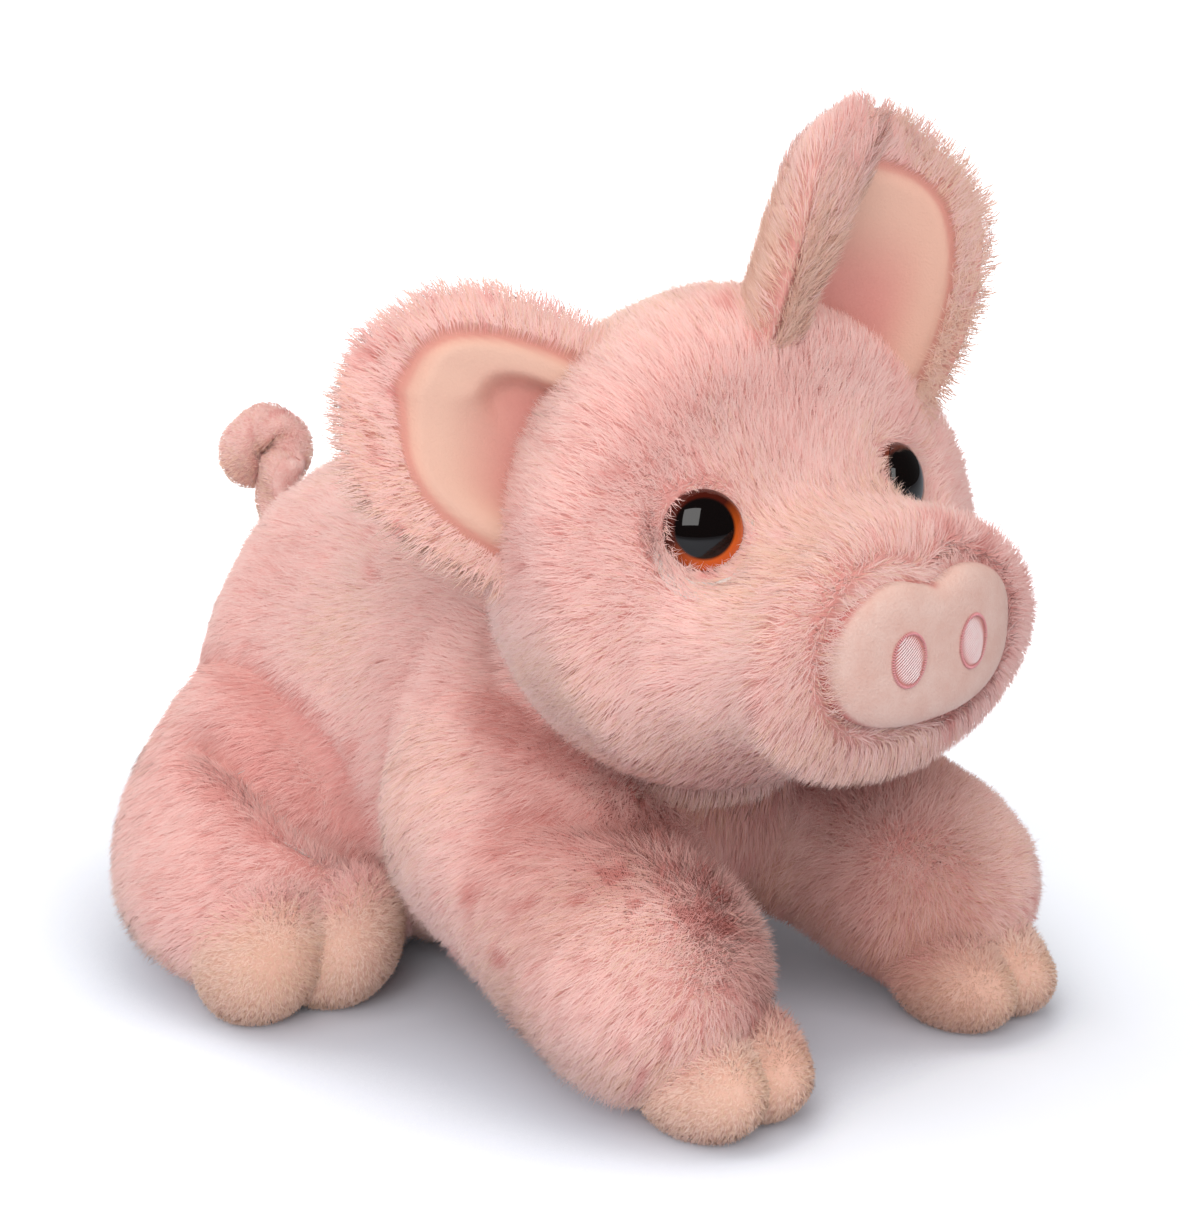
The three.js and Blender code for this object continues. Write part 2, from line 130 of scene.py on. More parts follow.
def ease(low: float, high: float, value: Points) -> Points:
    """A smooth step from 0 at low to 1 at high.

    Args:
        low: value where the step starts; it may be above high.
        high: value where the step ends.
        value: numbers to ease.

    Returns:
        3 s^2 - 2 s^3, with s the clipped share of the way from low to high.
    """
    s = np.clip((value - low) / (high - low), 0.0, 1.0)
    return s * s * (3.0 - 2.0 * s)


def numbers_at(cell: Points, seed: int, count: int) -> Points:
    """Repeatable numbers from 0 to 1 for whole-numbered cells of space.

    Args:
        cell: whole numbers, last axis of three.
        seed: another whole number, for another set.
        count: how many numbers each cell gets.

    Returns:
        An array with the cells' shape and count numbers on its last axis, from an integer hash.
    """
    c = cell.astype(np.int64)
    mixed = (c[..., 0] * 73856093) ^ (c[..., 1] * 19349663) ^ (c[..., 2] * 83492791) ^ (seed * 2654435761)
    columns = []
    for k in range(count):
        x = (mixed + k * 0x9E3779B9) & 0xFFFFFFFF
        x = ((x ^ (x >> 16)) * 0x45D9F3B) & 0xFFFFFFFF
        x = ((x ^ (x >> 16)) * 0x45D9F3B) & 0xFFFFFFFF
        columns.append((x ^ (x >> 16)) / 0xFFFFFFFF)
    return np.stack(columns, -1)


def soft_noise(points: Points, size: float, seed: int, count: int = 1) -> Points:
    """Smooth noise from -1 to 1, blended between hashed corners of cubes.

    Args:
        points: places, last axis x, y, z.
        size: side of a cube.
        seed: set of numbers to use.
        count: how many separate noises.

    Returns:
        The noises on the last axis.
    """
    q = points / size
    base = np.floor(q)
    share = q - base
    share = share * share * (3.0 - 2.0 * share)
    total = np.zeros(points.shape[:-1] + (count,))
    for corner in product((0, 1), repeat=3):
        weight = np.prod(np.where(np.array(corner) == 1, share, 1.0 - share), axis=-1)
        total += weight[..., None] * numbers_at(base + corner, seed, count)
    return 2.0 * total - 1.0


def tufts(points: Points, size: float, seed: int) -> tuple[Points, Points, Points]:
    """Sorts points into tufts round jittered centres, one in each cube of space.

    Args:
        points: places, one a row.
        size: side of a cube, about the width of a tuft.
        seed: set of numbers to use.

    Returns:
        The way from each point to its tuft's centre, the tuft's own number, and how much further the
        next centre is.
    """
    q = points / size
    base = np.floor(q)
    best = np.full(len(q), np.inf)
    second = best.copy()
    way = np.zeros_like(q)
    own = np.zeros(len(q))
    for corner in product((-1, 0, 1), repeat=3):
        cell = base + corner
        drawn = numbers_at(cell, seed, 4)
        gap = cell + drawn[:, :3] - q
        far = (gap * gap).sum(-1)
        nearer = far < best
        second = np.where(nearer, best, np.minimum(second, far))
        best = np.where(nearer, far, best)
        way = np.where(nearer[:, None], gap, way)
        own = np.where(nearer, drawn[:, 3], own)
    return way * size, own, (np.sqrt(second) - np.sqrt(best)) * size


def along_rows(rows: Points, t: Points) -> Points:
    """A smooth curve through the rows of a table: Catmull-Rom of tension one half, ends reflected.

    Args:
        rows: table, one row a point.
        t: shares of the way along the table.

    Returns:
        The table's values at those shares.
    """
    wide = np.vstack([2 * rows[0] - rows[1], rows, 2 * rows[-1] - rows[-2]])
    place = np.clip(t, 0.0, 1.0) * (len(rows) - 1)
    i = np.minimum(place.astype(int), len(rows) - 2)
    w = (place - i)[..., None]
    a, b, c, d = wide[i], wide[i + 1], wide[i + 2], wide[i + 3]
    start, end = (c - a) / 2, (d - b) / 2
    return b + w * (start + w * ((3 * (c - b) - 2 * start - end) + w * (2 * (b - c) + start + end)))


# Meshes


def mesh_object(name: str, points: Points, faces: Points, smooth: bool = True) -> bpy.types.Object:
    """Puts arrays into a new mesh object at the origin.

    Args:
        name: the object's name.
        points: corners, one a row, in metres.
        faces: corner numbers, one face a row.
        smooth: whether the faces are shaded smooth.

    Returns:
        The linked object.
    """
    mesh = bpy.data.meshes.new(name)
    count, sides = faces.shape
    mesh.vertices.add(len(points))
    mesh.vertices.foreach_set("co", np.ascontiguousarray(points, np.float32).ravel())
    mesh.loops.add(count * sides)
    mesh.loops.foreach_set("vertex_index", np.ascontiguousarray(faces, np.int32).ravel())
    mesh.polygons.add(count)
    mesh.polygons.foreach_set("loop_start", np.arange(0, count * sides, sides, dtype=np.int32))
    mesh.polygons.foreach_set("use_smooth", np.full(count, smooth))
    mesh.update(calc_edges=True)
    made = bpy.data.objects.new(name, mesh)
    bpy.context.scene.collection.objects.link(made)
    return made


def facing_out(points: Points, faces: Points) -> Points:
    """The same triangles, turned round if the volume inside them comes out negative."""
    a, b, c = (points[faces[:, k]] for k in range(3))
    return faces[:, ::-1] if (a * np.cross(b, c)).sum() < 0 else faces


@dataclass
class Surface:
    """A closed soft surface: rings of points between two poles.

    Attributes:
        start: first pole.
        rings: points by ring and step.
        end: last pole.
    """

    start: Points
    rings: Points
    end: Points

    def normals(self) -> Points:
        """Outward normals of the ring points: the cross of the two central differences.

        Returns:
            Unit normals, by ring and step.
        """
        shape = self.rings.shape
        first = np.broadcast_to(self.start, (1,) + shape[1:])
        last = np.broadcast_to(self.end, (1,) + shape[1:])
        tall = np.concatenate([first, self.rings, last])
        along = tall[2:] - tall[:-2]
        around = np.roll(self.rings, -1, 1) - np.roll(self.rings, 1, 1)
        out = unit(np.cross(along, around))
        middle = self.rings.mean(1, keepdims=True)
        return out if ((self.rings - middle) * out).sum() > 0 else -out

    def moved(self, way: Points) -> "Surface":
        """The surface with its ring points moved, and its poles at their rings' middles.

        Args:
            way: how far each ring point moves.

        Returns:
            A new surface.
        """
        rings = self.rings + way
        ends = [self.start, self.end]
        for k, edge in enumerate((0, -1)):
            ends[k] = ends[k] + way[edge].mean(0)
        return Surface(ends[0], rings, ends[1])

    def inset(self, depth: float) -> "Surface":
        """The surface moved inwards along its normals.

        Args:
            depth: how far it moves.

        Returns:
            A new surface.
        """
        out = self.normals()
        rings = self.rings - out * depth
        way = [unit(out[edge].mean(0)) * depth for edge in (0, -1)]
        return Surface(self.start - way[0], rings, self.end - way[1])

    def arrays(self) -> tuple[Points, Points]:
        """Corners and outward triangles of the closed surface.

        Returns:
            Corners, one a row, and the numbers of the corners of each triangle.
        """
        count, around, _ = self.rings.shape
        points = np.vstack([self.start[None], self.rings.reshape(-1, 3), self.end[None]])
        ring, step = np.meshgrid(np.arange(count - 1), np.arange(around), indexing="ij")
        ring, step = ring.ravel(), step.ravel()
        after = (step + 1) % around
        a, b = 1 + ring * around + step, 1 + ring * around + after
        c, d = a + around, b + around
        turn = np.arange(around)
        following = (turn + 1) % around
        tail = 1 + (count - 1) * around
        faces = np.vstack(
            [
                np.stack([a, b, c], 1),
                np.stack([b, d, c], 1),
                np.stack([np.zeros(around, int), 1 + following, 1 + turn], 1),
                np.stack([np.full(around, len(points) - 1), tail + turn, tail + following], 1),
            ]
        )
        return points, facing_out(points, faces)

    def build(self, name: str) -> bpy.types.Object:
        """The surface as a mesh object."""
        return mesh_object(name, *self.arrays())

    def scatter(self, per_area: float, seed: int, keep: Field) -> tuple[Points, Points]:
        """Roots spread evenly over the surface.

        Args:
            per_area: roots on a square metre.
            seed: seed of the spread.
            keep: gives the chance, from 0 to 1, that a root at a place and normal is kept.

        Returns:
            Roots and their outward normals, from the blend of each quad's corners.
        """
        rng = np.random.default_rng(seed)
        out = self.normals()
        grid, tilt = self.rings, out
        p00, p10 = grid[:-1], grid[1:]
        p01, p11 = np.roll(p00, -1, 1), np.roll(p10, -1, 1)
        area = np.linalg.norm(np.cross(p11 - p00, p01 - p10), axis=-1) / 2
        count = rng.poisson(area.sum() * per_area)
        chosen = rng.choice(area.size, count, p=(area / area.sum()).ravel())
        i, j = np.unravel_index(chosen, area.shape)
        k = (j + 1) % grid.shape[1]
        s, t = rng.random((2, count, 1))

        def blended(values: Points) -> Points:
            """Values at the chosen places, bilinear in each quad.

            Args:
                values: values by ring and step.

            Returns:
                One value a root.
            """
            low = values[i, j] * (1 - t) + values[i, k] * t
            high = values[i + 1, j] * (1 - t) + values[i + 1, k] * t
            return low * (1 - s) + high * s

        roots, normals = blended(grid), unit(blended(tilt))
        kept = rng.random(count) < keep(roots, normals)
        return roots[kept], normals[kept]


@dataclass
class RingForm:
    """A soft form of upright rings along a path, domed at both ends.

    Attributes:
        rows: x, y, half width, underside, top and narrowing of the top of each ring.
        cap_share: share of the length that each domed end takes.
        plan: sample sections, as shares of the way along.
        near: corners of a box round the form with room beside it.
    """

    rows: Points
    cap_share: float
    plan: Points = field(init=False)
    near: Points = field(init=False)

    def __post_init__(self) -> None:
        """Keeps sample sections, and a box round the form with room beside it."""
        self.plan = np.linspace(0.0, 1.0, 61)
        centre, side, wide, tall, _ = self.sections(self.plan)
        reach = np.abs(side) * wide[:, None] * 1.1 + tall[:, None] * np.array([0.0, 0.0, 1.0]) + 30 * MM
        self.near = np.stack([(centre - reach).min(0), (centre + reach).max(0)])

    def sections(self, t: Points) -> tuple[Points, Points, Points, Points, Points]:
        """Sections of the form.

        Args:
            t: shares of the way along.

        Returns:
            Centres, sideways directions, half widths, half heights and narrowings.
        """
        row = along_rows(self.rows, t)
        reach = 1 / 28
        ahead = along_rows(self.rows, t + reach)[..., :2] - along_rows(self.rows, t - reach)[..., :2]
        side = unit(np.stack([-ahead[..., 1], ahead[..., 0], 0 * ahead[..., 0]], -1))
        cap = np.sqrt(1 - np.maximum(0, 1 - np.minimum(t, 1 - t) / self.cap_share) ** 2)
        centre = np.stack([row[..., 0], row[..., 1], (row[..., 3] + row[..., 4]) / 2], -1)
        return centre, side, row[..., 2] * cap, (row[..., 4] - row[..., 3]) / 2 * cap, row[..., 5]

    def surface(self, along: int, around: int) -> Surface:
        """The form's skin: ellipses sin and cos of the turn, narrowed by 1 - narrowing x cos.

        Args:
            along: rings from end to end.
            around: points on each ring.

        Returns:
            The closed surface.
        """
        t = (1 - np.cos(np.pi * (np.arange(along - 1) + 1) / along)) / 2
        centre, side, wide, tall, pinch = (v[:, None] for v in self.sections(t))
        turn = np.arange(around)[None, :] / around * 2 * np.pi
        out = wide * np.sin(turn) * (1 - pinch * np.cos(turn))
        rise = (tall * np.cos(turn))[..., None] * np.array([0.0, 0.0, 1.0])
        ends = self.sections(np.array([0.0, 1.0]))[0]
        return Surface(ends[0], centre + side * out[..., None] + rise, ends[1])

    def depth_inside(self, points: Points) -> Points:
        """How deep points lie inside the form, measured in the nearest section's plane.

        Args:
            points: places, one a row.

        Returns:
            Depths in metres, negative outside; far from the form they are only very negative.
        """
        depth = np.full(len(points), -1.0)
        beside = ((points > self.near[0]) & (points < self.near[1])).all(1)
        if beside.any():
            depth[beside] = self.depth_beside(points[beside])
        return depth

    def depth_beside(self, points: Points) -> Points:
        """Depths of points that are near the form: (1 - r) x the smaller half size, r the ellipse's ratio.

        Args:
            points: places, one a row.

        Returns:
            Depths in metres, negative outside.
        """
        centre, side, wide, tall, pinch = self.sections(self.plan)
        flat = ((points[:, None, :2] - centre[None, :, :2]) ** 2).sum(-1)
        near = flat.argmin(1)
        across = ((points - centre[near]) * side[near]).sum(-1)
        up = points[:, 2] - centre[near, 2]
        height = np.clip(up / np.maximum(tall[near], 1e-6), -1, 1)
        width = np.maximum(wide[near] * (1 - pinch[near] * height), 1e-6)
        ratio = np.sqrt((across / width) ** 2 + (up / np.maximum(tall[near], 1e-6)) ** 2)
        beyond = np.where((near == 0) | (near == len(self.plan) - 1), 1.0, 0.0)
        return (1 - ratio) * np.minimum(width, tall[near]) - beyond


# Materials


class Nodes:
    """A small hand for laying out one node tree."""

    def __init__(self, tree: bpy.types.NodeTree) -> None:
        """Takes the tree to work in."""
        self.tree = tree

    def add(self, kind: str, values: dict[str, object] | None = None, **settings: object) -> bpy.types.Node:
        """Adds a node.

        Args:
            kind: the node's type.
            values: socket names and what each is linked to or set to.
            settings: properties of the node.

        Returns:
            The node.
        """
        node = self.tree.nodes.new(kind)
        for name, value in settings.items():
            setattr(node, name, value)
        for name, value in (values or {}).items():
            self.feed(node.inputs[int(name) if name.isdigit() else name], value)
        return node

    def feed(self, socket: Socket, value: object) -> None:
        """Links a socket to another one, or sets its value."""
        if isinstance(value, Socket):
            self.tree.links.new(value, socket)
        else:
            socket.default_value = value

    def math(self, operation: str, *values: object, clamp: bool = False) -> Socket:
        """One step of arithmetic on sockets or numbers.

        Args:
            operation: what is worked out.
            values: sockets or numbers.
            clamp: whether the result is held to 0 to 1.

        Returns:
            The result.
        """
        node = self.add("ShaderNodeMath", {str(i): v for i, v in enumerate(values)}, operation=operation)
        node.use_clamp = clamp
        return node.outputs[0]

    def mix(self, share: object, a: object, b: object, blend: str = "MIX") -> Socket:
        """A colour between a and b.

        Args:
            share: share of b.
            a: first colour.
            b: second colour.
            blend: how they are mixed.

        Returns:
            The mixed colour.
        """
        node = self.add("ShaderNodeMix", data_type="RGBA", blend_type=blend, clamp_factor=True)
        for socket, value in ((0, share), (6, a), (7, b)):
            plain = isinstance(value, tuple) and len(value) == 3
            self.feed(node.inputs[socket], (*value, 1.0) if plain else value)
        return node.outputs[2]

    def ramp_value(self, value: object, low: float, high: float) -> Socket:
        """0 at low and 1 at high, smooth between.

        Args:
            value: what is eased.
            low: where the result is 0; it may be above high.
            high: where the result is 1.

        Returns:
            The eased value.
        """
        node = self.add("ShaderNodeMapRange", {"Value": value}, interpolation_type="SMOOTHSTEP")
        flip = low > high
        node.inputs["From Min"].default_value = min(low, high)
        node.inputs["From Max"].default_value = max(low, high)
        node.inputs["To Min"].default_value = 1.0 if flip else 0.0
        node.inputs["To Max"].default_value = 0.0 if flip else 1.0
        return node.outputs["Result"]

    def vector(self, operation: str, *values: object) -> bpy.types.Node:
        """One step of arithmetic on vectors."""
        fed = {str(i): v for i, v in enumerate(values)}
        return self.add("ShaderNodeVectorMath", fed, operation=operation)

    def ramp(self, value: object, stops: Sequence[tuple[float, Colour]]) -> Socket:
        """Colours along a value, straight between the stops.

        Args:
            value: place along the ramp.
            stops: places and their colours, in order.

        Returns:
            The colour.
        """
        node = self.add("ShaderNodeValToRGB", {"Fac": value})
        ramp = node.color_ramp
        while len(ramp.elements) > 1:
            ramp.elements.remove(ramp.elements[-1])
        ramp.elements[0].position = stops[0][0]
        ramp.elements[0].color = (*stops[0][1], 1.0)
        for place, colour in stops[1:]:
            ramp.elements.new(place).color = (*colour, 1.0)
        return node.outputs["Color"]


def linear(*srgb: int) -> Colour:
    """A colour written in 0 to 255 screen values, as linear light."""
    c = np.array(srgb) / 255
    return tuple(float(v) for v in np.where(c <= 0.04045, c / 12.92, ((c + 0.055) / 1.055) ** 2.4))


def mottle_group() -> bpy.types.ShaderNodeTree:
    """The shared unevenness of dyed, brushed cloth: a broad noise with a finer one across it.

    Returns:
        A group with Place, Patch and Fibre inputs and Tone and Height outputs.
    """
    name = "cloth_mottle"
    if name in bpy.data.node_groups:
        return bpy.data.node_groups[name]
    tree = bpy.data.node_groups.new(name, "ShaderNodeTree")
    face = tree.interface
    face.new_socket("Place", in_out="INPUT", socket_type="NodeSocketVector")
    for label, value in (("Patch", 60.0), ("Fibre", 900.0)):
        face.new_socket(label, in_out="INPUT", socket_type="NodeSocketFloat").default_value = value
    for label in ("Tone", "Height"):
        face.new_socket(label, in_out="OUTPUT", socket_type="NodeSocketFloat")
    made = Nodes(tree)
    start, end = made.add("NodeGroupInput"), made.add("NodeGroupOutput")
    given = start.outputs
    broad = made.add("ShaderNodeTexNoise", {"Vector": given["Place"], "Scale": given["Patch"], "Detail": 3.0})
    fine = made.add("ShaderNodeTexNoise", {"Vector": given["Place"], "Scale": given["Fibre"], "Detail": 2.0})
    most = made.math("MULTIPLY", broad.outputs["Fac"], 0.65)
    rest = made.math("MULTIPLY", fine.outputs["Fac"], 0.35)
    made.feed(end.inputs["Tone"], made.math("ADD", most, rest))
    made.feed(end.inputs["Height"], fine.outputs["Fac"])
    return tree


def new_material(name: str) -> tuple[bpy.types.Material, Nodes, bpy.types.Node]:
    """A material with its Principled shader.

    Args:
        name: the material's name.

    Returns:
        The material, a hand for its nodes, and the shader node.
    """
    material = bpy.data.materials.new(name)
    material.use_nodes = True
    nodes = Nodes(material.node_tree)
    return material, nodes, material.node_tree.nodes["Principled BSDF"]


@dataclass(frozen=True)
class Finish:
    """A material that is made once, when the first piece asks for it.

    Attributes:
        name: name of the material.
    """

    name: str

    def material(self) -> bpy.types.Material:
        """The material, made on first use.

        Returns:
            The material.
        """
        if self.name not in bpy.data.materials:
            _, nodes, shader = new_material(self.name)
            self.lay_out(nodes, shader)
        return bpy.data.materials[self.name]

    def lay_out(self, nodes: Nodes, shader: bpy.types.Node) -> None:
        """Lays out the nodes that feed the shader."""
        raise NotImplementedError


@dataclass(frozen=True)
class PileFinish(Finish):
    """Hairs of combed pile: each tint from its root to its tip, with darker and lighter hairs.

    Attributes:
        name: name of the material.
        rose: colours of rose hairs at root, middle and tip.
        pink: the same of pink hairs.
        pale: the same of pale hairs.
        beige: the same of beige hairs.
        roughness: roughness of a hair.
        shade: what the darkest hairs' colours are multiplied by.
        half_shade: the same for hairs of middling lightness.
    """

    name: str = "pile_pink"
    rose: Dye = (linear(226, 138, 134), linear(240, 170, 164), linear(248, 198, 190))
    pink: Dye = (linear(240, 166, 160), linear(250, 196, 190), linear(254, 216, 209))
    pale: Dye = (linear(244, 178, 171), linear(252, 206, 199), linear(255, 225, 218))
    beige: Dye = (linear(232, 170, 150), linear(244, 198, 178), linear(250, 218, 200))
    roughness: float = 0.8
    shade: Colour = (0.66, 0.48, 0.46)
    half_shade: Colour = (0.93, 0.9, 0.89)

    def lay_out(self, nodes: Nodes, shader: bpy.types.Node) -> None:
        """Reads the tone across, and the tint and length up, the piece's map.

        A hair's normal is its own soft one, n, made to face the viewer's side of its flat face, T:
        n + T x max(0, STEADY - n.T). So a hair seen from inside its bend isn't black.

        Args:
            nodes: a hand for the tree.
            shader: the Principled shader.
        """
        spot = nodes.add("ShaderNodeUVMap", uv_map=MAP).outputs[0]
        place = nodes.add("ShaderNodeSeparateXYZ", {"Vector": spot})
        stops = []
        for tint in Tint:
            for share, colour in zip(DYE_SHARES, getattr(self, tint.name.lower())):
                stops.append(((tint.value + share) / len(Tint), colour))
        dyed = nodes.ramp(place.outputs["Y"], stops)
        shades = [(0.0, self.shade), (0.5, self.half_shade), (1.0, (1.0, 1.0, 1.0))]
        shade = nodes.ramp(place.outputs["X"], shades)
        nodes.feed(shader.inputs["Base Color"], nodes.mix(1.0, dyed, shade, "MULTIPLY"))
        shader.inputs["Roughness"].default_value = self.roughness
        shader.inputs["Specular IOR Level"].default_value = 0.0
        geometry = nodes.add("ShaderNodeNewGeometry")
        turned = nodes.math("MULTIPLY_ADD", geometry.outputs["Backfacing"], -2.0, 1.0)
        outward = nodes.vector("SCALE", geometry.outputs["Normal"])
        nodes.feed(outward.inputs["Scale"], turned)
        seen = geometry.outputs["True Normal"]
        level = nodes.vector("DOT_PRODUCT", outward.outputs[0], seen).outputs["Value"]
        lift = nodes.math("MAXIMUM", nodes.math("SUBTRACT", STEADY, level), 0.0)
        steady = nodes.vector("MULTIPLY_ADD", seen, lift, outward.outputs[0])
        nodes.feed(shader.inputs["Normal"], steady.outputs[0])


@dataclass(frozen=True)
class VelourFinish(Finish):
    """Short brushed cloth: mottled dye, a fine fibre relief and a soft sheen.

    Attributes:
        name: name of the material.
        light: lighter colour of the mottled dye.
        deep: deeper colour of the mottled dye.
        crest: painted sheen: colour of raised borders, if the cloth has any.
        seam: colour where the cloth is sewn down, if it is, also used as painted shade where a piece marks it
            so.
        patch: patches of dye on a metre.
        fibre: fibres on a metre.
        relief: strength of the fibres' relief.
        sheen: weight of the sheen.
        roughness: roughness of the cloth.
    """

    light: Colour
    deep: Colour
    crest: Colour | None = None
    seam: Colour | None = None
    patch: float = 45.0
    fibre: float = 1400.0
    relief: float = 0.25
    sheen: float = 0.15
    roughness: float = 0.8

    def lay_out(self, nodes: Nodes, shader: bpy.types.Node) -> None:
        """Mottles the dye and raises the fibres, on Object coordinates.

        Args:
            nodes: a hand for the tree.
            shader: the Principled shader.
        """
        place = nodes.add("ShaderNodeTexCoord").outputs["Object"]
        cloth = nodes.add("ShaderNodeGroup", node_tree=mottle_group())
        for label, value in (("Place", place), ("Patch", self.patch), ("Fibre", self.fibre)):
            nodes.feed(cloth.inputs[label], value)
        tone = nodes.math("MULTIPLY_ADD", cloth.outputs["Tone"], 2.4, -0.7, clamp=True)
        dyed = nodes.mix(tone, self.deep, self.light)
        # Painted sheen: raised borders are paler.
        if self.crest:
            high = nodes.add("ShaderNodeAttribute", attribute_name=CREST_SHEEN).outputs["Fac"]
            dyed = nodes.mix(high, dyed, self.crest)
        # The seam colour also carries painted shade where a piece marks it so.
        if self.seam:
            sewn = nodes.add("ShaderNodeAttribute", attribute_name=SEAM_AND_SHADE).outputs["Fac"]
            dyed = nodes.mix(sewn, dyed, self.seam)
        nodes.feed(shader.inputs["Base Color"], dyed)
        bump = nodes.add("ShaderNodeBump", {"Strength": self.relief, "Distance": FIBRE_HEIGHT})
        nodes.feed(bump.inputs["Height"], cloth.outputs["Height"])
        nodes.feed(shader.inputs["Normal"], bump.outputs[0])
        shader.inputs["Roughness"].default_value = self.roughness
        shader.inputs["Specular IOR Level"].default_value = 0.3
        shader.inputs["Sheen Weight"].default_value = self.sheen
        shader.inputs["Sheen Roughness"].default_value = 0.35
        shader.inputs["Sheen Tint"].default_value = (1.0, 0.93, 0.9, 1.0)


@dataclass(frozen=True)
class EyeFinish(Finish):
    """A polished eye: black pupil in an amber ring with painted shade above and a painted glow of refracted
    light below.

    Attributes:
        name: name of the material.
        centre: middle of the dome's seat.
        gaze: the way that the pupil is turned.
        radius: radius of the dome.
        below: the way to the ring's side with the painted glow.
        glow: painted glow colour of the ring there.
        ember: colour of the ring on its painted-shade side and at its edge.
        black: colour of the pupil.
    """

    centre: Points
    gaze: Points
    radius: float
    below: Place = (0.504, -0.483, -1.0)
    glow: Colour = linear(224, 100, 28)
    ember: Colour = linear(70, 18, 8)
    black: Colour = linear(10, 5, 5)

    def lay_out(self, nodes: Nodes, shader: bpy.types.Node) -> None:
        """Paints rings by their distance from the line of the eye's gaze, with a painted glow below and
        painted shade above.

        Args:
            nodes: a hand for the tree.
            shader: the Principled shader.
        """
        place = nodes.add("ShaderNodeTexCoord").outputs["Object"]
        offset = nodes.vector("SUBTRACT", place, tuple(self.centre)).outputs[0]
        along = nodes.vector("DOT_PRODUCT", offset, tuple(self.gaze)).outputs["Value"]
        size = nodes.vector("LENGTH", offset).outputs["Value"]
        whole = nodes.math("MULTIPLY", size, size)
        square = nodes.math("SUBTRACT", whole, nodes.math("MULTIPLY", along, along))
        ring = nodes.math("DIVIDE", nodes.math("SQRT", nodes.math("MAXIMUM", square, 0.0)), self.radius)
        # Painted light: the ring is lighter towards below, as light refracted through the dome would be, and
        # shaded above.
        below = unit(np.array(self.below))
        fall = nodes.vector("DOT_PRODUCT", offset, tuple(below)).outputs["Value"]
        lit = nodes.math("MULTIPLY_ADD", fall, 1.1 / self.radius, 0.32, clamp=True)
        amber = nodes.mix(lit, self.ember, self.glow)
        iris = nodes.mix(nodes.ramp_value(ring, 0.93, 1.02), amber, self.ember)
        pupil = nodes.ramp_value(ring, 0.78, 0.69)
        nodes.feed(shader.inputs["Base Color"], nodes.mix(pupil, iris, self.black))
        shader.inputs["Roughness"].default_value = 0.03
        shader.inputs["IOR"].default_value = 1.5


@dataclass(frozen=True)
class ThreadFinish(Finish):
    """Satin stitching: glossy strands with a little unevenness along them.

    Attributes:
        name: name of the material.
        light: lighter colour of the thread.
        deep: deeper colour of the thread.
    """

    light: Colour
    deep: Colour

    def lay_out(self, nodes: Nodes, shader: bpy.types.Node) -> None:
        """Mixes the strands' colours, on Object coordinates.

        Args:
            nodes: a hand for the tree.
            shader: the Principled shader.
        """
        place = nodes.add("ShaderNodeTexCoord").outputs["Object"]
        cloth = nodes.add("ShaderNodeGroup", node_tree=mottle_group())
        for label, value in (("Place", place), ("Patch", 500.0), ("Fibre", 4000.0)):
            nodes.feed(cloth.inputs[label], value)
        tone = nodes.math("MULTIPLY_ADD", cloth.outputs["Tone"], 2.0, -0.5, clamp=True)
        nodes.feed(shader.inputs["Base Color"], nodes.mix(tone, self.deep, self.light))
        shader.inputs["Roughness"].default_value = 0.38
        shader.inputs["Sheen Weight"].default_value = 0.3


@dataclass(frozen=True)
class MouldedFinish(Finish):
    """Moulded plastic with faint flow marks.

    Attributes:
        name: name of the material.
        light: lighter colour of the marks.
        deep: deeper colour of the marks.
        roughness: roughness of the plastic.
    """

    light: Colour
    deep: Colour
    roughness: float

    def lay_out(self, nodes: Nodes, shader: bpy.types.Node) -> None:
        """Marks the flow in colour and roughness, on Object coordinates.

        Args:
            nodes: a hand for the tree.
            shader: the Principled shader.
        """
        place = nodes.add("ShaderNodeTexCoord").outputs["Object"]
        marks = {"Vector": place, "Scale": 180.0, "Detail": 4.0, "Distortion": 0.6}
        flow = nodes.add("ShaderNodeTexNoise", marks)
        nodes.feed(shader.inputs["Base Color"], nodes.mix(flow.outputs["Fac"], self.deep, self.light))
        rough = nodes.math("MULTIPLY_ADD", flow.outputs["Fac"], 0.1, self.roughness - 0.05)
        nodes.feed(shader.inputs["Roughness"], rough)


SKIN = VelourFinish("cloth_back", linear(238, 176, 168), linear(228, 160, 152), relief=0.5)
# Colour of seams, also used as painted shadow below the ear lining's upper roll.
SEWN_AND_SHADED = linear(200, 112, 108)
# Painted sheen colour of the lining's raised border.
BORDER_SHEEN = linear(232, 190, 170)
LINING = VelourFinish("velour_lining", linear(226, 160, 150), linear(216, 146, 137), BORDER_SHEEN, SEWN_AND_SHADED, patch=30.0)
HOOF = VelourFinish("velour_hoof", linear(244, 202, 184), linear(236, 186, 166), patch=60.0, relief=0.45)
PAD = VelourFinish(
    "velour_pad", linear(236, 202, 190), linear(226, 180, 166), seam=SEWN_AND_SHADED, patch=140.0, relief=0.5
)
TAIL = VelourFinish("chenille_tail", linear(255, 220, 212), linear(238, 172, 164), patch=260.0, relief=0.6)
FILLING = VelourFinish("loose_fibre", linear(240, 238, 234), linear(222, 218, 212), patch=120.0, relief=0.8)
HOOF_PILE = dict(
    rose=(linear(236, 160, 154), linear(248, 190, 184), linear(253, 212, 206)),
    pink=(linear(234, 176, 158), linear(246, 204, 188), linear(253, 222, 208)),
    pale=(linear(238, 186, 166), linear(250, 212, 196), linear(255, 230, 214)),
    beige=(linear(226, 172, 146), linear(240, 200, 174), linear(250, 218, 196)),
)
SATIN = ThreadFinish("satin_light", linear(255, 238, 236), linear(250, 214, 214))
SATIN_EDGE = ThreadFinish("satin_pink", linear(240, 168, 172), linear(222, 140, 146))
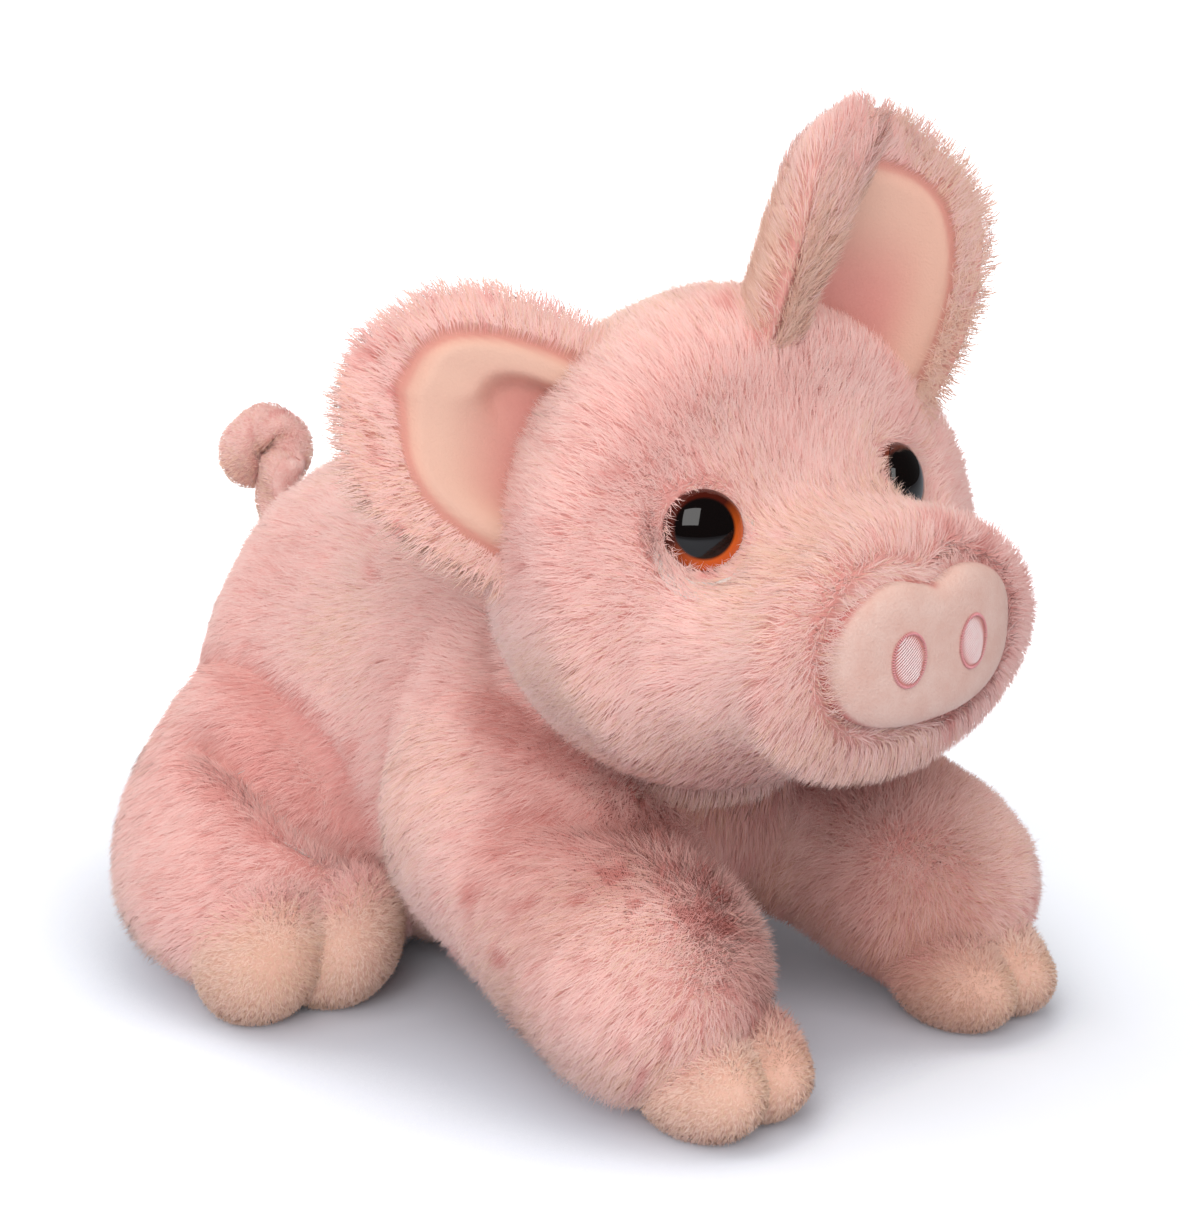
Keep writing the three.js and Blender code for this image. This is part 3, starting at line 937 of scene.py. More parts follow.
AMBER = MouldedFinish("amber_plastic", linear(122, 46, 16), linear(90, 30, 10), 0.3)
WASHER = MouldedFinish("washer_plastic", linear(236, 233, 226), linear(222, 218, 210), 0.5)


def dress(piece: bpy.types.Object, material: bpy.types.Material) -> None:
    """Gives a piece one material, in place of those it has."""
    piece.data.materials.clear()
    piece.data.materials.append(material)


def mark(piece: bpy.types.Object, name: str, values: Points) -> None:
    """Writes one number a corner for the piece's material to read."""
    found = piece.data.attributes.new(name, "FLOAT", "POINT")
    found.data.foreach_set("value", values.astype(np.float32))


# Pile


@dataclass(frozen=True)
class Pile:
    """How a cloth's pile grows.

    Attributes:
        length: length of a hair.
        width: width of a hair at its widest.
        per_area: hairs on a square metre.
        lean: how far hairs lean along the comb, against 1 outwards.
        tuft: width of a tuft.
        gather: share of the way to the tuft's middle that tips are drawn.
        stray: random lean of single hairs.
    """

    length: float = 8.6 * MM
    width: float = 0.26 * MM
    per_area: float = 3.7e6
    lean: float = 1.1
    tuft: float = 7.0 * MM
    gather: float = 0.16
    stray: float = 0.16


@dataclass(frozen=True)
class Growth:
    """How every hair is bent, drawn together and coloured, whatever its pile.

    Attributes:
        lock: size of small locks, against a tuft.
        drift: how far broad drifts turn the hairs, and over what distance.
        reach: length of the shortest hairs, and what tufts and single hairs add, against the pile's.
        bend: share of the length below the bend, how far it leans, and its share of the tuft's pull.
        tip: the same above the bend, with how far it still stands up.
        ground: lowest place of a hair.
        roll: spread and limit of the hairs' turn about their own line, in radians.
        spread: narrowest hairs, and what chance adds, against the pile's width.
        narrowest: least share of the length that a hair's width follows.
        sunk: how far roots reach into the cloth.
        own_side: how far a hair's own side turns its shading.
        tone: how far tufts, small locks and single hairs change the tone, and how much painted shade darkens
            the gaps between tufts.
        gap: width of the gaps between tufts, where the shade is painted.
        tones: darkest and lightest tone.
        tint: how far patches and single hairs change the tint.
        patch: width of the patches.
    """

    lock: float = 0.37
    drift: tuple[float, float] = (0.35, 16 * MM)
    reach: Place = (0.8, 0.12, 0.22)
    bend: Place = (0.5, 0.45, 0.4)
    tip: Place = (0.6, 0.4, 0.6)
    ground: float = 0.4 * MM
    roll: tuple[float, float] = (0.5, 1.2)
    spread: tuple[float, float] = (0.8, 0.4)
    narrowest: float = 0.35
    sunk: float = 0.5 * MM
    own_side: float = 0.18
    tone: tuple[float, float, float, float] = (0.08, 0.08, 0.06, 0.06)
    gap: float = 1.4 * MM
    tones: tuple[float, float] = (0.02, 0.98)
    tint: tuple[float, float] = (0.5, 0.55)
    patch: float = 26 * MM


GROWTH = Growth()
TOE_PILE = Pile(2.2 * MM, width=0.24 * MM, per_area=3.6e6, tuft=2.2 * MM, gather=0.25, stray=0.3)
TAIL_PILE = Pile(2.0 * MM, 0.2 * MM, per_area=5.0e6, lean=1.9, tuft=2.0 * MM, gather=0.08, stray=0.2)


@dataclass
class Coat:
    """Pile grown on surfaces and split into pieces under the limit on faces.

    Attributes:
        name: stem of the pieces' names.
        pile: how the pile grows.
        comb: gives the way that hairs lean at a place and normal.
        tone: gives how light hairs are there, about 0 to 1.
        tint: gives the tint as a number, 0 rose to 3 beige, before each hair's own spread.
        trim: gives the share of the full length that hairs keep there.
        finish: the hairs' finish.
        most: most hairs in one piece.
        catch: a way that the hairs' normals are turned to, where pile leans into the light.
    """

    name: str
    pile: Pile
    comb: Field
    tone: Field
    tint: Field
    trim: Field
    finish: PileFinish = PileFinish()
    most: int = 97000
    catch: Place = (0.0, 0.0, 0.0)

    def grow(self, roots: Points, normals: Points, seed: int) -> list[bpy.types.Object]:
        """Grows one bent, tapered blade from each root.

        A hair starts upright, bends over along the comb and is drawn to the middle of its tuft. Each
        is four points: root, two at its widest and tip.

        Args:
            roots: where hairs start.
            normals: outward normals there.
            seed: seed of the hairs' differences.

        Returns:
            The pieces.
        """
        pile, grown = self.pile, GROWTH
        rng = np.random.default_rng(seed)
        order = np.lexsort((roots[:, 0] > 0, np.round(roots[:, 1] / 0.02)))
        roots, normals = roots[order], normals[order]
        count = len(roots)
        way, own, edge = tufts(roots, pile.tuft, seed)
        small, own_small, _ = tufts(roots, pile.tuft * grown.lock, seed + 7)

        def level(v: Points) -> Points:
            """Vectors laid into the surface."""
            return v - normals * (v * normals).sum(-1, keepdims=True)

        drift = level(soft_noise(roots, grown.drift[1], seed + 1, 3)) * grown.drift[0]
        single = level(rng.normal(size=(count, 3))) * pile.stray
        lean = level(self.comb(roots, normals)) * pile.lean + drift + single
        shortest, by_tuft, by_hair = grown.reach
        share = shortest + by_tuft * own + by_hair * rng.random(count)
        reach = (pile.length * self.trim(roots, normals) * share)[:, None]
        pull = level(way) * pile.gather + level(small) * pile.gather * 0.5
        pull *= np.minimum(1.0, reach / pile.length)
        low, over, drawn = grown.bend
        bends = roots + low * reach * unit(normals + over * lean) + drawn * pull
        swing = level(rng.normal(size=(count, 3))) * pile.stray
        high, rise, drawn = grown.tip
        tips = bends + high * reach * unit(rise * normals + lean + swing) + drawn * pull
        tips[:, 2] = np.maximum(tips[:, 2], grown.ground * (1 + rng.random(count)))
        bends[:, 2] = np.maximum(bends[:, 2], grown.ground)
        along = unit(tips - roots)
        across = unit(np.cross(unit(tips - bends), normals) + 1e-6)
        across = unit(across - along * (across * along).sum(-1, keepdims=True))
        third = np.cross(along, across)
        turn, most = grown.roll
        roll = np.clip(rng.normal(0, turn, count), -most, most)[:, None]
        axis = across * np.cos(roll) + third * np.sin(roll)
        facing = unit(np.cross(axis, along))
        spread = grown.spread[0] + grown.spread[1] * rng.random((count, 1))
        half = pile.width / 2 * spread * np.sqrt(np.clip(reach / pile.length, grown.narrowest, 1))
        feet = roots - normals * grown.sunk
        corners = np.stack([feet, bends + axis * half, bends - axis * half, tips], 1)
        shade = unit(normals + np.array(self.catch) + facing * grown.own_side)
        by_tuft, by_lock, by_hair, by_gap_shade = grown.tone
        tone = self.tone(roots, normals) + by_tuft * (own - 0.5) + by_lock * (own_small - 0.5)
        # Painted shade: hairs by the gaps between tufts are darker.
        tone = tone + by_hair * rng.normal(size=count) - by_gap_shade * ease(grown.gap, 0.0, edge)
        tone = np.clip(tone, *grown.tones)
        by_patch, by_hair = grown.tint
        tint = self.tint(roots, normals) + by_patch * soft_noise(roots, grown.patch, seed + 3)[:, 0]
        tint = np.clip(np.round(tint + rng.normal(0, by_hair, count)), 0, len(Tint) - 1)
        parts = max(1, math.ceil(count / self.most))
        pieces = []
        for k, chosen in enumerate(np.array_split(np.arange(count), parts)):
            label = self.name if parts == 1 else f"{self.name}_{k + 1}"
            pieces.append(self.piece(label, corners[chosen], shade[chosen], tone[chosen], tint[chosen]))
        LOG.info("%s: %d hairs in %d pieces", self.name, count, parts)
        return pieces

    def piece(
        self, name: str, corners: Points, shade: Points, tone: Points, tint: Points
    ) -> bpy.types.Object:
        """One piece of pile from its hairs' corners, with its map and its soft normals.

        Args:
            name: the piece's name.
            corners: four points a hair.
            shade: the normal that each hair is shaded with.
            tone: lightness of each hair.
            tint: tint number of each hair.

        Returns:
            The object.
        """
        count = len(corners)
        first = 4 * np.arange(count)[:, None]
        faces = np.concatenate([first + [0, 1, 2], first + [2, 1, 3]], 1).reshape(-1, 3)
        made = mesh_object(name, corners.reshape(-1, 3), faces)
        mesh = made.data
        side = np.array([0.0, 1.0, -1.0, -1.0, 1.0, 0.0])
        length = np.array([0.03, 0.55, 0.55, 0.55, 0.55, 0.95])
        u = tone[:, None] * 0.98 + 0.01 + 0.004 * side
        v = (tint[:, None] + length) / len(Tint)
        uv = mesh.uv_layers.new(name=MAP)
        uv.data.foreach_set("uv", np.stack([u, v], -1).astype(np.float32).ravel())
        normal = mesh.attributes.new("custom_normal", "FLOAT_VECTOR", "POINT")
        normal.data.foreach_set("vector", np.repeat(shade, 4, 0).astype(np.float32).ravel())
        dress(made, self.finish.material())
        made.visible_shadow = False
        return made


# Pieces shared by the sub-assemblies


def joint_place(name: str) -> Points:
    """Where a joint of the frame turns."""
    found = [j for j in frame["record"]["behaviour"]["joints"] if j["name"] == name]
    return np.array(found[0]["pos_m"], float)


@dataclass(frozen=True)
class Hold:
    """What a group of pieces moves with: one body, which they are attached to; with a second body named, they
    stay fixed where they are.

    Attributes:
        body: the body, or the first of two.
        other: the second body, if two are named.
        start: a place near where the pieces meet the first body; not used.
        end: a place a little into the second body; not used.
    """

    body: str
    other: str = ""
    start: Place = (0.0, 0.0, 0.0)
    end: Place = (0.0, 0.0, 0.0)

    def take(self, pieces: Sequence[bpy.types.Object]) -> None:
        """Attaches pieces to the body, or, with a second body named, fixes them where they stand."""
        for piece in pieces:
            if self.other:
                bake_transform(piece)
            else:
                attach(piece, self.body)
            LOG.info("placed %s", piece.name)


def rows_of(table: Rows) -> Points:
    """A table of numbers as an array."""
    return np.array(table, float)


@dataclass
class HeadFrame:
    """The head's own measures, which the face and ears are placed by.

    Attributes:
        length: from the neck to the muzzle.
        width: across the cheeks.
        height: from the chin to the crown.
        back: how far behind the body's front it starts.
        underside: height of the chin.
    """

    length: float = 145 * MM
    width: float = 172 * MM
    height: float = 146 * MM
    back: float = 12 * MM
    underside: float = 77 * MM

    def at(self, shares: Sequence[float]) -> Points:
        """A point of the head from its shares across, back and up.

        Args:
            shares: shares of half the width, the length and the height.

        Returns:
            The point.
        """
        across, back, up = shares
        y = self.back - back * self.length + MIDDLE_Y
        return np.array([across * self.width / 2, y, self.underside + up * self.height])


HEAD = HeadFrame()


def leg_form(table: Rows, side: Side, size: dict[str, float]) -> RingForm:
    """A leg's ring form.

    Args:
        table: shares sideways, forwards, lift of the underside, half width and half height.
        side: which side of the pig.
        size: radius, spread, start, reach, rise and narrowing.

    Returns:
        The form, whose underside is cut a little into the ground.
    """
    x, y, lift, wide, tall = rows_of(table).T
    low = lift * size["rise"] - GROUND_CUT
    place = size["start"] - y * size["reach"] + MIDDLE_Y
    high = low + 2 * tall * size["radius"]
    narrow = np.full(len(x), size["pinch"])
    out = side.value * x * size["spread"]
    return RingForm(np.stack([out, place, wide * size["radius"], low, high, narrow], 1), LEG_CAP)


def body_form() -> RingForm:
    """The body's barrel, from the chest to the rump.

    Returns:
        The form, from shares of the length, width and height.
    """
    table = rows_of(
        [
            [0, 0.42, 0.4, 0.74],
            [0.1, 0.66, 0.2, 0.88],
            [0.28, 0.92, 0.03, 0.98],
            [0.5, 1, 0, 1],
            [0.68, 0.99, 0, 0.97],
            [0.85, 0.88, 0.01, 0.87],
            [1, 0.72, 0.05, 0.64],
        ]
    )
    y, wide, low, high = table.T
    length, width, height = BODY_SIZE
    place = BODY_FRONT + y * length + MIDDLE_Y
    low, high = low * height - GROUND_CUT, high * height
    return RingForm(np.stack([0 * y, place, wide * width / 2, low, high, 0 * y + BODY_PINCH], 1), BODY_CAP)


def head_form() -> RingForm:
    """The head: a broad skull, full cheeks and a muzzle that stands out from the face.

    Returns:
        The form, from shares of the length, width and height.
    """
    table = rows_of(
        [
            [0, 0.42, 0.18, 0.8, 0.1],
            [0.18, 0.7, 0.08, 0.92, 0.1],
            [0.4, 0.96, 0, 1, 0.03],
            [0.56, 1.02, 0, 0.93, 0],
            [0.64, 0.95, 0.02, 0.765, 0.02],
            [0.72, 0.79, 0.06, 0.65, 0.05],
            [0.82, 0.7, 0.09, 0.635, 0.06],
            [0.93, 0.7, 0.09, 0.63, 0.02],
            [1, 0.63, 0.13, 0.61, 0],
        ]
    )
    y, wide, low, high, pinch = table.T
    place = HEAD.back - y * HEAD.length + MIDDLE_Y
    low, high = (HEAD.underside + share * HEAD.height for share in (low, high))
    return RingForm(np.stack([0 * y, place, wide * HEAD.width / 2, low, high, pinch], 1), HEAD_CAP)


FRONT_ROWS = (
    (0.66, 0, 1, 0.86, 0.86),
    (0.84, 0.22, 0.82, 0.98, 1),
    (0.94, 0.5, 0.3, 0.96, 0.98),
    (1, 0.78, 0.02, 0.99, 0.92),
    (1, 1, 0, 0.93, 0.8),
)
HIND_ROWS = (
    (0.48, 0, 1, 0.8, 0.84),
    (0.66, 0.26, 0.2, 0.98, 0.98),
    (0.84, 0.54, 0.01, 0.95, 0.86),
    (0.95, 0.83, 0, 0.76, 0.64),
    (1, 1, 0, 0.58, 0.52),
)
FRONT_SIZE = dict(radius=38 * MM, spread=59 * MM, start=12 * MM, reach=129 * MM, rise=34 * MM, pinch=0.0)
HIND_SIZE = dict(radius=45 * MM, spread=91 * MM, start=118 * MM, reach=87 * MM, rise=12 * MM, pinch=0.3)
LEG_LEAN = (0.55, 0.6, -0.65)


def body_comb(points: Points, normals: Points) -> Points:
    """The body's pile lies back, and down the sides.

    Args:
        points: places, one a row.
        normals: outward normals there.

    Returns:
        The way that hairs lean.
    """
    way = np.zeros_like(points)
    way[:, 1] = 0.8
    way[:, 2] = -0.75 * ease(0.9, 0.2, normals[:, 2])
    return way


def head_comb(points: Points, normals: Points) -> Points:
    """The head's pile lies away from the nose and down the cheeks.

    Args:
        points: places, one a row.
        normals: outward normals there.

    Returns:
        The way that hairs lean.
    """
    way = unit(points - HEAD.at((0, 1.15, 0.42)))
    way[:, 2] -= 0.55 * ease(0.4, -0.1, normals[:, 2])
    return way


def leg_comb(side: Side) -> Field:
    """A comb that lies out from the body, back and down a leg.

    Args:
        side: which side of the toy.

    Returns:
        The comb, as a function of places and normals.
    """

    def comb(points: Points, normals: Points) -> Points:
        """The same way everywhere, which the cloth turns to its own slope."""
        return np.zeros_like(points) + [LEG_LEAN[0] * side.value, *LEG_LEAN[1:]]

    return comb


@dataclass(frozen=True)
class Crease:
    """A fold pressed into the cloth, on both sides of the toy alike, with painted shade along it.

    Attributes:
        line: places along it on the right side, in millimetres across, back and up from the middle.
        depth: how far the cloth sinks.
        width: how wide the groove is.
        blush: painted shade: how far round it the pile turns rose.
        dark: painted shade: how much darker the pile is in it.
    """

    line: tuple[Place, ...]
    depth: float
    width: float
    blush: float
    dark: float

    def away(self, points: Points) -> Points:
        """Distances of points under the pile from the line that runs on top of it.

        Args:
            points: places, one a row.

        Returns:
            Distances in metres, measured at the depth of the line.
        """
        line = np.array(self.line) * MM + [0, MIDDLE_Y, 0]
        mirrored = points * [-1, 1, 1]
        own = np.where(points[:, :1] > 0, mirrored, points)
        nearest = np.full(len(points), 1.0)
        for a, b in zip(line[:-1], line[1:]):
            share = np.clip((own - a) @ (b - a) / ((b - a) @ (b - a)), 0, 1)[:, None]
            nearest = np.minimum(nearest, np.linalg.norm(own - a - share * (b - a), axis=1))
        return np.sqrt(np.maximum(nearest**2 - PILE_RISE**2, 0))

    def mark(self, points: Points, reach: float) -> Points:
        """1 on the line, falling off as a bell of the given reach."""
        return np.exp(-((self.away(points) / reach) ** 2))


HAUNCH_TOP = ((-59, 119, 84), (-65, 82, 90), (-66, 63, 85), (-66, 51, 79), (-66, 41, 70), (-65, 37, 58))
HAUNCH_FOLD = ((-87, 86, 74), (-87, 73, 72), (-86, 56, 64), (-79, 45, 56), (-66, 40, 45), (-58, 35, 37))
SHOULDER_FOLD = ((-79, -45, 77), (-74, -46, 80), (-68, -52, 81), (-59, -64, 79), (-38, -62, 69))
SHOULDER_TOP = ((-57, -5, 96), (-59, -19, 98), (-57, -30, 96), (-50, -40, 92))
# The last two numbers of each crease are painted shade: how far round it the pile turns rose, and how much
# darker it is.
CREASES = (
    Crease(HAUNCH_TOP, 2 * MM, 4 * MM, 7 * MM, 0.15),
    Crease(HAUNCH_FOLD, 8 * MM, 6 * MM, 17 * MM, 0.45),
    Crease(SHOULDER_FOLD, 2.5 * MM, 5 * MM, 11 * MM, 0.2),
    Crease(SHOULDER_TOP, 1 * MM, 5 * MM, 9 * MM, 0.1),
)


@dataclass
class Forms:
    """Every main form of the toy, for telling what hides or joins what.

    Attributes:
        shapes: the forms by name.
        combs: how each form's pile lies.
        seams: pairs that are sewn together, with the width of the fillet between them.
    """

    shapes: dict[str, RingForm] = field(default_factory=dict)
    combs: dict[str, Field] = field(default_factory=dict)
    seams: dict[frozenset, float] = field(default_factory=dict)

    def __post_init__(self) -> None:
        """Makes the body, the head and the four legs."""
        self.shapes = {"body": body_form(), "head": head_form()}
        self.combs = {"body": body_comb, "head": head_comb}
        self.seams[frozenset(("body", "head"))] = 15 * MM
        fillets = {"front": 52 * MM, "hind": 40 * MM}
        for side, (stem, table, size) in product(Side, LEGS):
            name = f"{stem}_leg_{side.label}"
            self.shapes[name] = leg_form(table, side, size)
            self.combs[name] = leg_comb(side)
            self.seams[frozenset(("body", name))] = fillets[stem]

    def depths(self, own: str, points: Points) -> dict[str, Points]:
        """Depths of points in every form but their own."""
        return {name: form.depth_inside(points) for name, form in self.shapes.items() if name != own}

    def filled(self, own: str, surface: Surface) -> Surface:
        """A cloth raised into a soft fillet where it meets the cloths that it is sewn to.

        Where the other cloth is d away, it rises by (w - |d|)^2 / 4w, with w the fillet's width.

        Args:
            own: name of the form.
            surface: its cloth.

        Returns:
            The raised cloth.
        """
        points = surface.rings.reshape(-1, 3)
        rise = np.zeros(len(points))
        for name, depth in self.depths(own, points).items():
            width = self.seams.get(frozenset((own, name)), 0.0)
            if width:
                near = np.maximum(0.0, width - np.abs(depth - PILE_RISE))
                rise += near**2 / (4 * width)
        if own != "head":
            for crease in CREASES:
                rise -= crease.depth * crease.mark(points, crease.width)
        raised = surface.moved(surface.normals() * rise.reshape(surface.rings.shape[:2])[..., None])
        raised.rings[..., 2] = np.maximum(raised.rings[..., 2], 0.6 * MM)
        return raised

    def flow(self, own: str) -> Field:
        """The comb of a form, turning into its neighbours' where they are sewn together.

        Args:
            own: name of the form.

        Returns:
            The comb, as a function of places and normals.
        """

        def comb(points: Points, normals: Points) -> Points:
            """Each form's comb, weighted by how near its cloth is.

            Args:
                points: places, one a row.
                normals: outward normals there.

            Returns:
                The way that hairs lean.
            """
            way = self.combs[own](points, normals)
            for name, depth in self.depths(own, points).items():
                if frozenset((own, name)) in self.seams:
                    weight = np.exp(-np.abs(np.minimum(depth - PILE_RISE, 0)) / (9 * MM))
                    way = way + self.combs[name](points, normals) * weight[:, None]
            return way

        return comb

    def showing(self, own: str) -> Field:
        """A test for roots that no other form hides.

        Args:
            own: name of the form that the roots are on.

        Returns:
            A function of roots and normals that gives the chance that each root is kept.
        """

        def keep(points: Points, normals: Points) -> Points:
            """None where hidden, less underneath.

            Args:
                points: places, one a row.
                normals: outward normals there.

            Returns:
                The chance that each root is kept.
            """
            hidden = np.zeros(len(points), bool)
            for depth in self.depths(own, points).values():
                hidden |= depth > SUNK_ROOTS
            below = ease(-0.55, -0.8, normals[:, 2])
            return np.where(hidden | (points[:, 2] < 1.2 * MM), 0.0, 1.0 - 0.6 * below)

        return keep


LEGS = (("front", FRONT_ROWS, FRONT_SIZE), ("hind", HIND_ROWS, HIND_SIZE))
FORMS = Forms()


@dataclass(frozen=True)
class Dyeing:
    """How the pile's lightness and tint vary over the toy: dye, with painted light and painted shade.

    Attributes:
        tone: lightness of pile on upright cloth.
        tone_patch: strength and width of patches of other lightness.
        tone_rise: painted light and shade: how much lighter the pile is on top, and darker underneath.
        tint: tint of pile on upright cloth, from 0 rose to 3 beige.
        tint_patch: strength and width of patches of other tint.
        tint_rise: how much paler the pile is on top.
        beige_below: painted shade and bounce light: how much it turns to beige underneath.
        blush: painted shade: how much it turns to rose in creases.
        lock: width of the rose locks.
        locks: width of the patches that they come in.
        lock_tone: how much darker rose locks are.
        lock_tint: how much rosier rose locks are.
        heights: how far above a place the head is looked for.
        shade_reach: depths in the head, looked for so, between which its shade grows.
        shade: how much darker the pile is in that shade.
    """

    tone: float = 0.66
    tone_patch: tuple[float, float] = (0.1, 30 * MM)
    tone_rise: float = 0.12
    tint: float = 1.55
    tint_patch: tuple[float, float] = (0.9, 38 * MM)
    tint_rise: float = 0.3
    beige_below: float = 1.2
    blush: float = 1.4
    lock: float = 4 * MM
    locks: float = 34 * MM
    lock_tone: float = 0.22
    lock_tint: float = 2.6
    heights: Place = (22 * MM, 50 * MM, 85 * MM)
    shade_reach: tuple[float, float] = (-14 * MM, 10 * MM)
    shade: float = 0.5


DYE_AND_SHADE = Dyeing()


def streaks(points: Points) -> Points:
    """Where small locks of the pile are rose, from 0 to 1: fine noise that comes in patches."""
    fine = ease(0.3, 0.75, soft_noise(points * [1.0, 1.0, 0.6], DYE_AND_SHADE.lock, 14)[:, 0])
    return fine * ease(-0.5, 0.6, soft_noise(points, DYE_AND_SHADE.locks, 13)[:, 0])


def under_head(points: Points) -> Points:
    """How far places lie in the shade of the head above them, from 0 to 1.

    Args:
        points: places, one a row.

    Returns:
        Shares from 0 to 1, and 0 inside the head.
    """
    head = FORMS.shapes["head"]
    above = np.max([head.depth_inside(points + [0, 0, height]) for height in DYE_AND_SHADE.heights], axis=0)
    return ease(*DYE_AND_SHADE.shade_reach, above) * (head.depth_inside(points) < 0)


def cloth_tone(points: Points, normals: Points) -> Points:
    """Lightness of the pile: broad patches, painted light on top, and painted shade underneath, in creases
    and below the head.

    Args:
        points: places, one a row.
        normals: outward normals there.

    Returns:
        Tones of about 0 to 1.
    """
    # Painted shade: pile is darker in the creases.
    folds = sum(crease.dark * crease.mark(points, crease.width) for crease in CREASES)
    strength, size = DYE_AND_SHADE.tone_patch
    # Painted light and shade: pile facing up is lighter, pile facing down is darker.
    broad = DYE_AND_SHADE.tone + strength * soft_noise(points, size, 11)[:, 0] + DYE_AND_SHADE.tone_rise * normals[:, 2]
    return broad - folds - DYE_AND_SHADE.lock_tone * streaks(points) - DYE_AND_SHADE.shade * under_head(points)


def cloth_tint(points: Points, normals: Points) -> Points:
    """Tint of the pile: pink on top, beige where the cloth faces down as painted shade and bounce light,
    rosier round creases as painted shade, with streaks of rose.

    Args:
        points: places, one a row.
        normals: outward normals there.

    Returns:
        Numbers of tints, 0 rose to 3 beige.
    """
    # Painted shade: pile turns rose round the creases.
    folds = sum(crease.mark(points, crease.blush) for crease in CREASES)
    strength, size = DYE_AND_SHADE.tint_patch
    # Painted shade and bounce light: pile facing down turns beige.
    below = DYE_AND_SHADE.beige_below * ease(0.3, -0.6, normals[:, 2])
    broad = strength * soft_noise(points, size, 12)[:, 0] + below
    tint = DYE_AND_SHADE.tint + broad + DYE_AND_SHADE.tint_rise * normals[:, 2]
    return tint - DYE_AND_SHADE.lock_tint * streaks(points) - DYE_AND_SHADE.blush * folds


def full_length(points: Points, _: Points) -> Points:
    """Pile that keeps its whole length."""
    return np.ones(len(points))


# Sub-assemblies


@dataclass
class Trunk:
    """The barrel of the body: a stuffed cover with combed pile.

    Attributes:
        pile: how its pile grows.
        along: rings of the cover.
        around: points on each ring.
    """

    pile: Pile = Pile()
    along: int = 110
    around: int = 150

    def build(self) -> None:
        """Makes the cover and its pile."""
        surface = FORMS.shapes["body"].surface(self.along, self.around).inset(PILE_RISE)
        surface = FORMS.filled("body", surface)
        cover = surface.build("body_cloth")
        dress(cover, SKIN.material())
        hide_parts("body_cover")
        roots, normals = surface.scatter(self.pile.per_area, 3, FORMS.showing("body"))
        coat = Coat("body_pile", self.pile, FORMS.flow("body"), cloth_tone, cloth_tint, full_length)
        pieces = coat.grow(roots, normals, 21)
        Hold("trunk").take([cover, *pieces])


@dataclass
class Eye:
    """One safety eye: a polished dome on an amber plate.

    Attributes:
        side: which eye, as the frame names them.
        radius: radius of the dome.
        rise: height of the dome.
        glance: where both pupils are turned to, from straight out of the dome.
    """

    side: Side
    radius: float = 11.5 * MM
    rise: float = 7 * MM
    glance: Place = (-0.67, -0.69, 0.42)

    def place(self) -> tuple[Points, Points]:
        """The dome's seat and the way that it looks, from the frame's own dome.

        Returns:
            The middle of the seat, and a unit vector.
        """
        look = unit(np.array([0.5 * self.side.value, -0.84, 0.2]))
        node = frame["nodes"][f"eye_dome_{self.side.label}"]
        co = np.zeros(len(node.data.vertices) * 3)
        node.data.vertices.foreach_get("co", co)
        co = co.reshape(-1, 3)
        reach = co @ look
        base = co[reach < reach.min() + 0.05 * MM]
        return (base.min(0) + base.max(0)) / 2, look

    def build(self) -> None:
        """Makes the dome: a quarter ellipse turned about the way that the eye looks."""
        seat, look = self.place()
        turn = np.linspace(0, np.pi / 2, 25)[:-1]
        swing = np.linspace(0, 2 * np.pi, 72, endpoint=False)
        across = unit(np.cross(look, [0.0, 0.0, 1.0]))
        up = np.cross(across, look)
        out = (self.radius * np.cos(turn))[:, None, None]
        rings = seat + look * (self.rise * np.sin(turn))[:, None, None]
        rings = rings + out * (across * np.cos(swing)[:, None] + up * np.sin(swing)[:, None])[None]
        rim = seat + (rings[0] - seat) * 0.96 - look * 0.2 * MM
        surface = Surface(seat - look * 0.2 * MM, np.concatenate([rim[None], rings]), seat + look * self.rise)
        dome = surface.build(f"eye_{self.side.label}")
        gaze = unit(look + 2.7 * unit(np.array(self.glance)))
        dress(dome, EyeFinish(f"eye_gloss_{self.side.label}", seat, gaze, self.radius).material())
        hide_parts(f"eye_dome_{self.side.label}")
        Hold("head").take([dome])


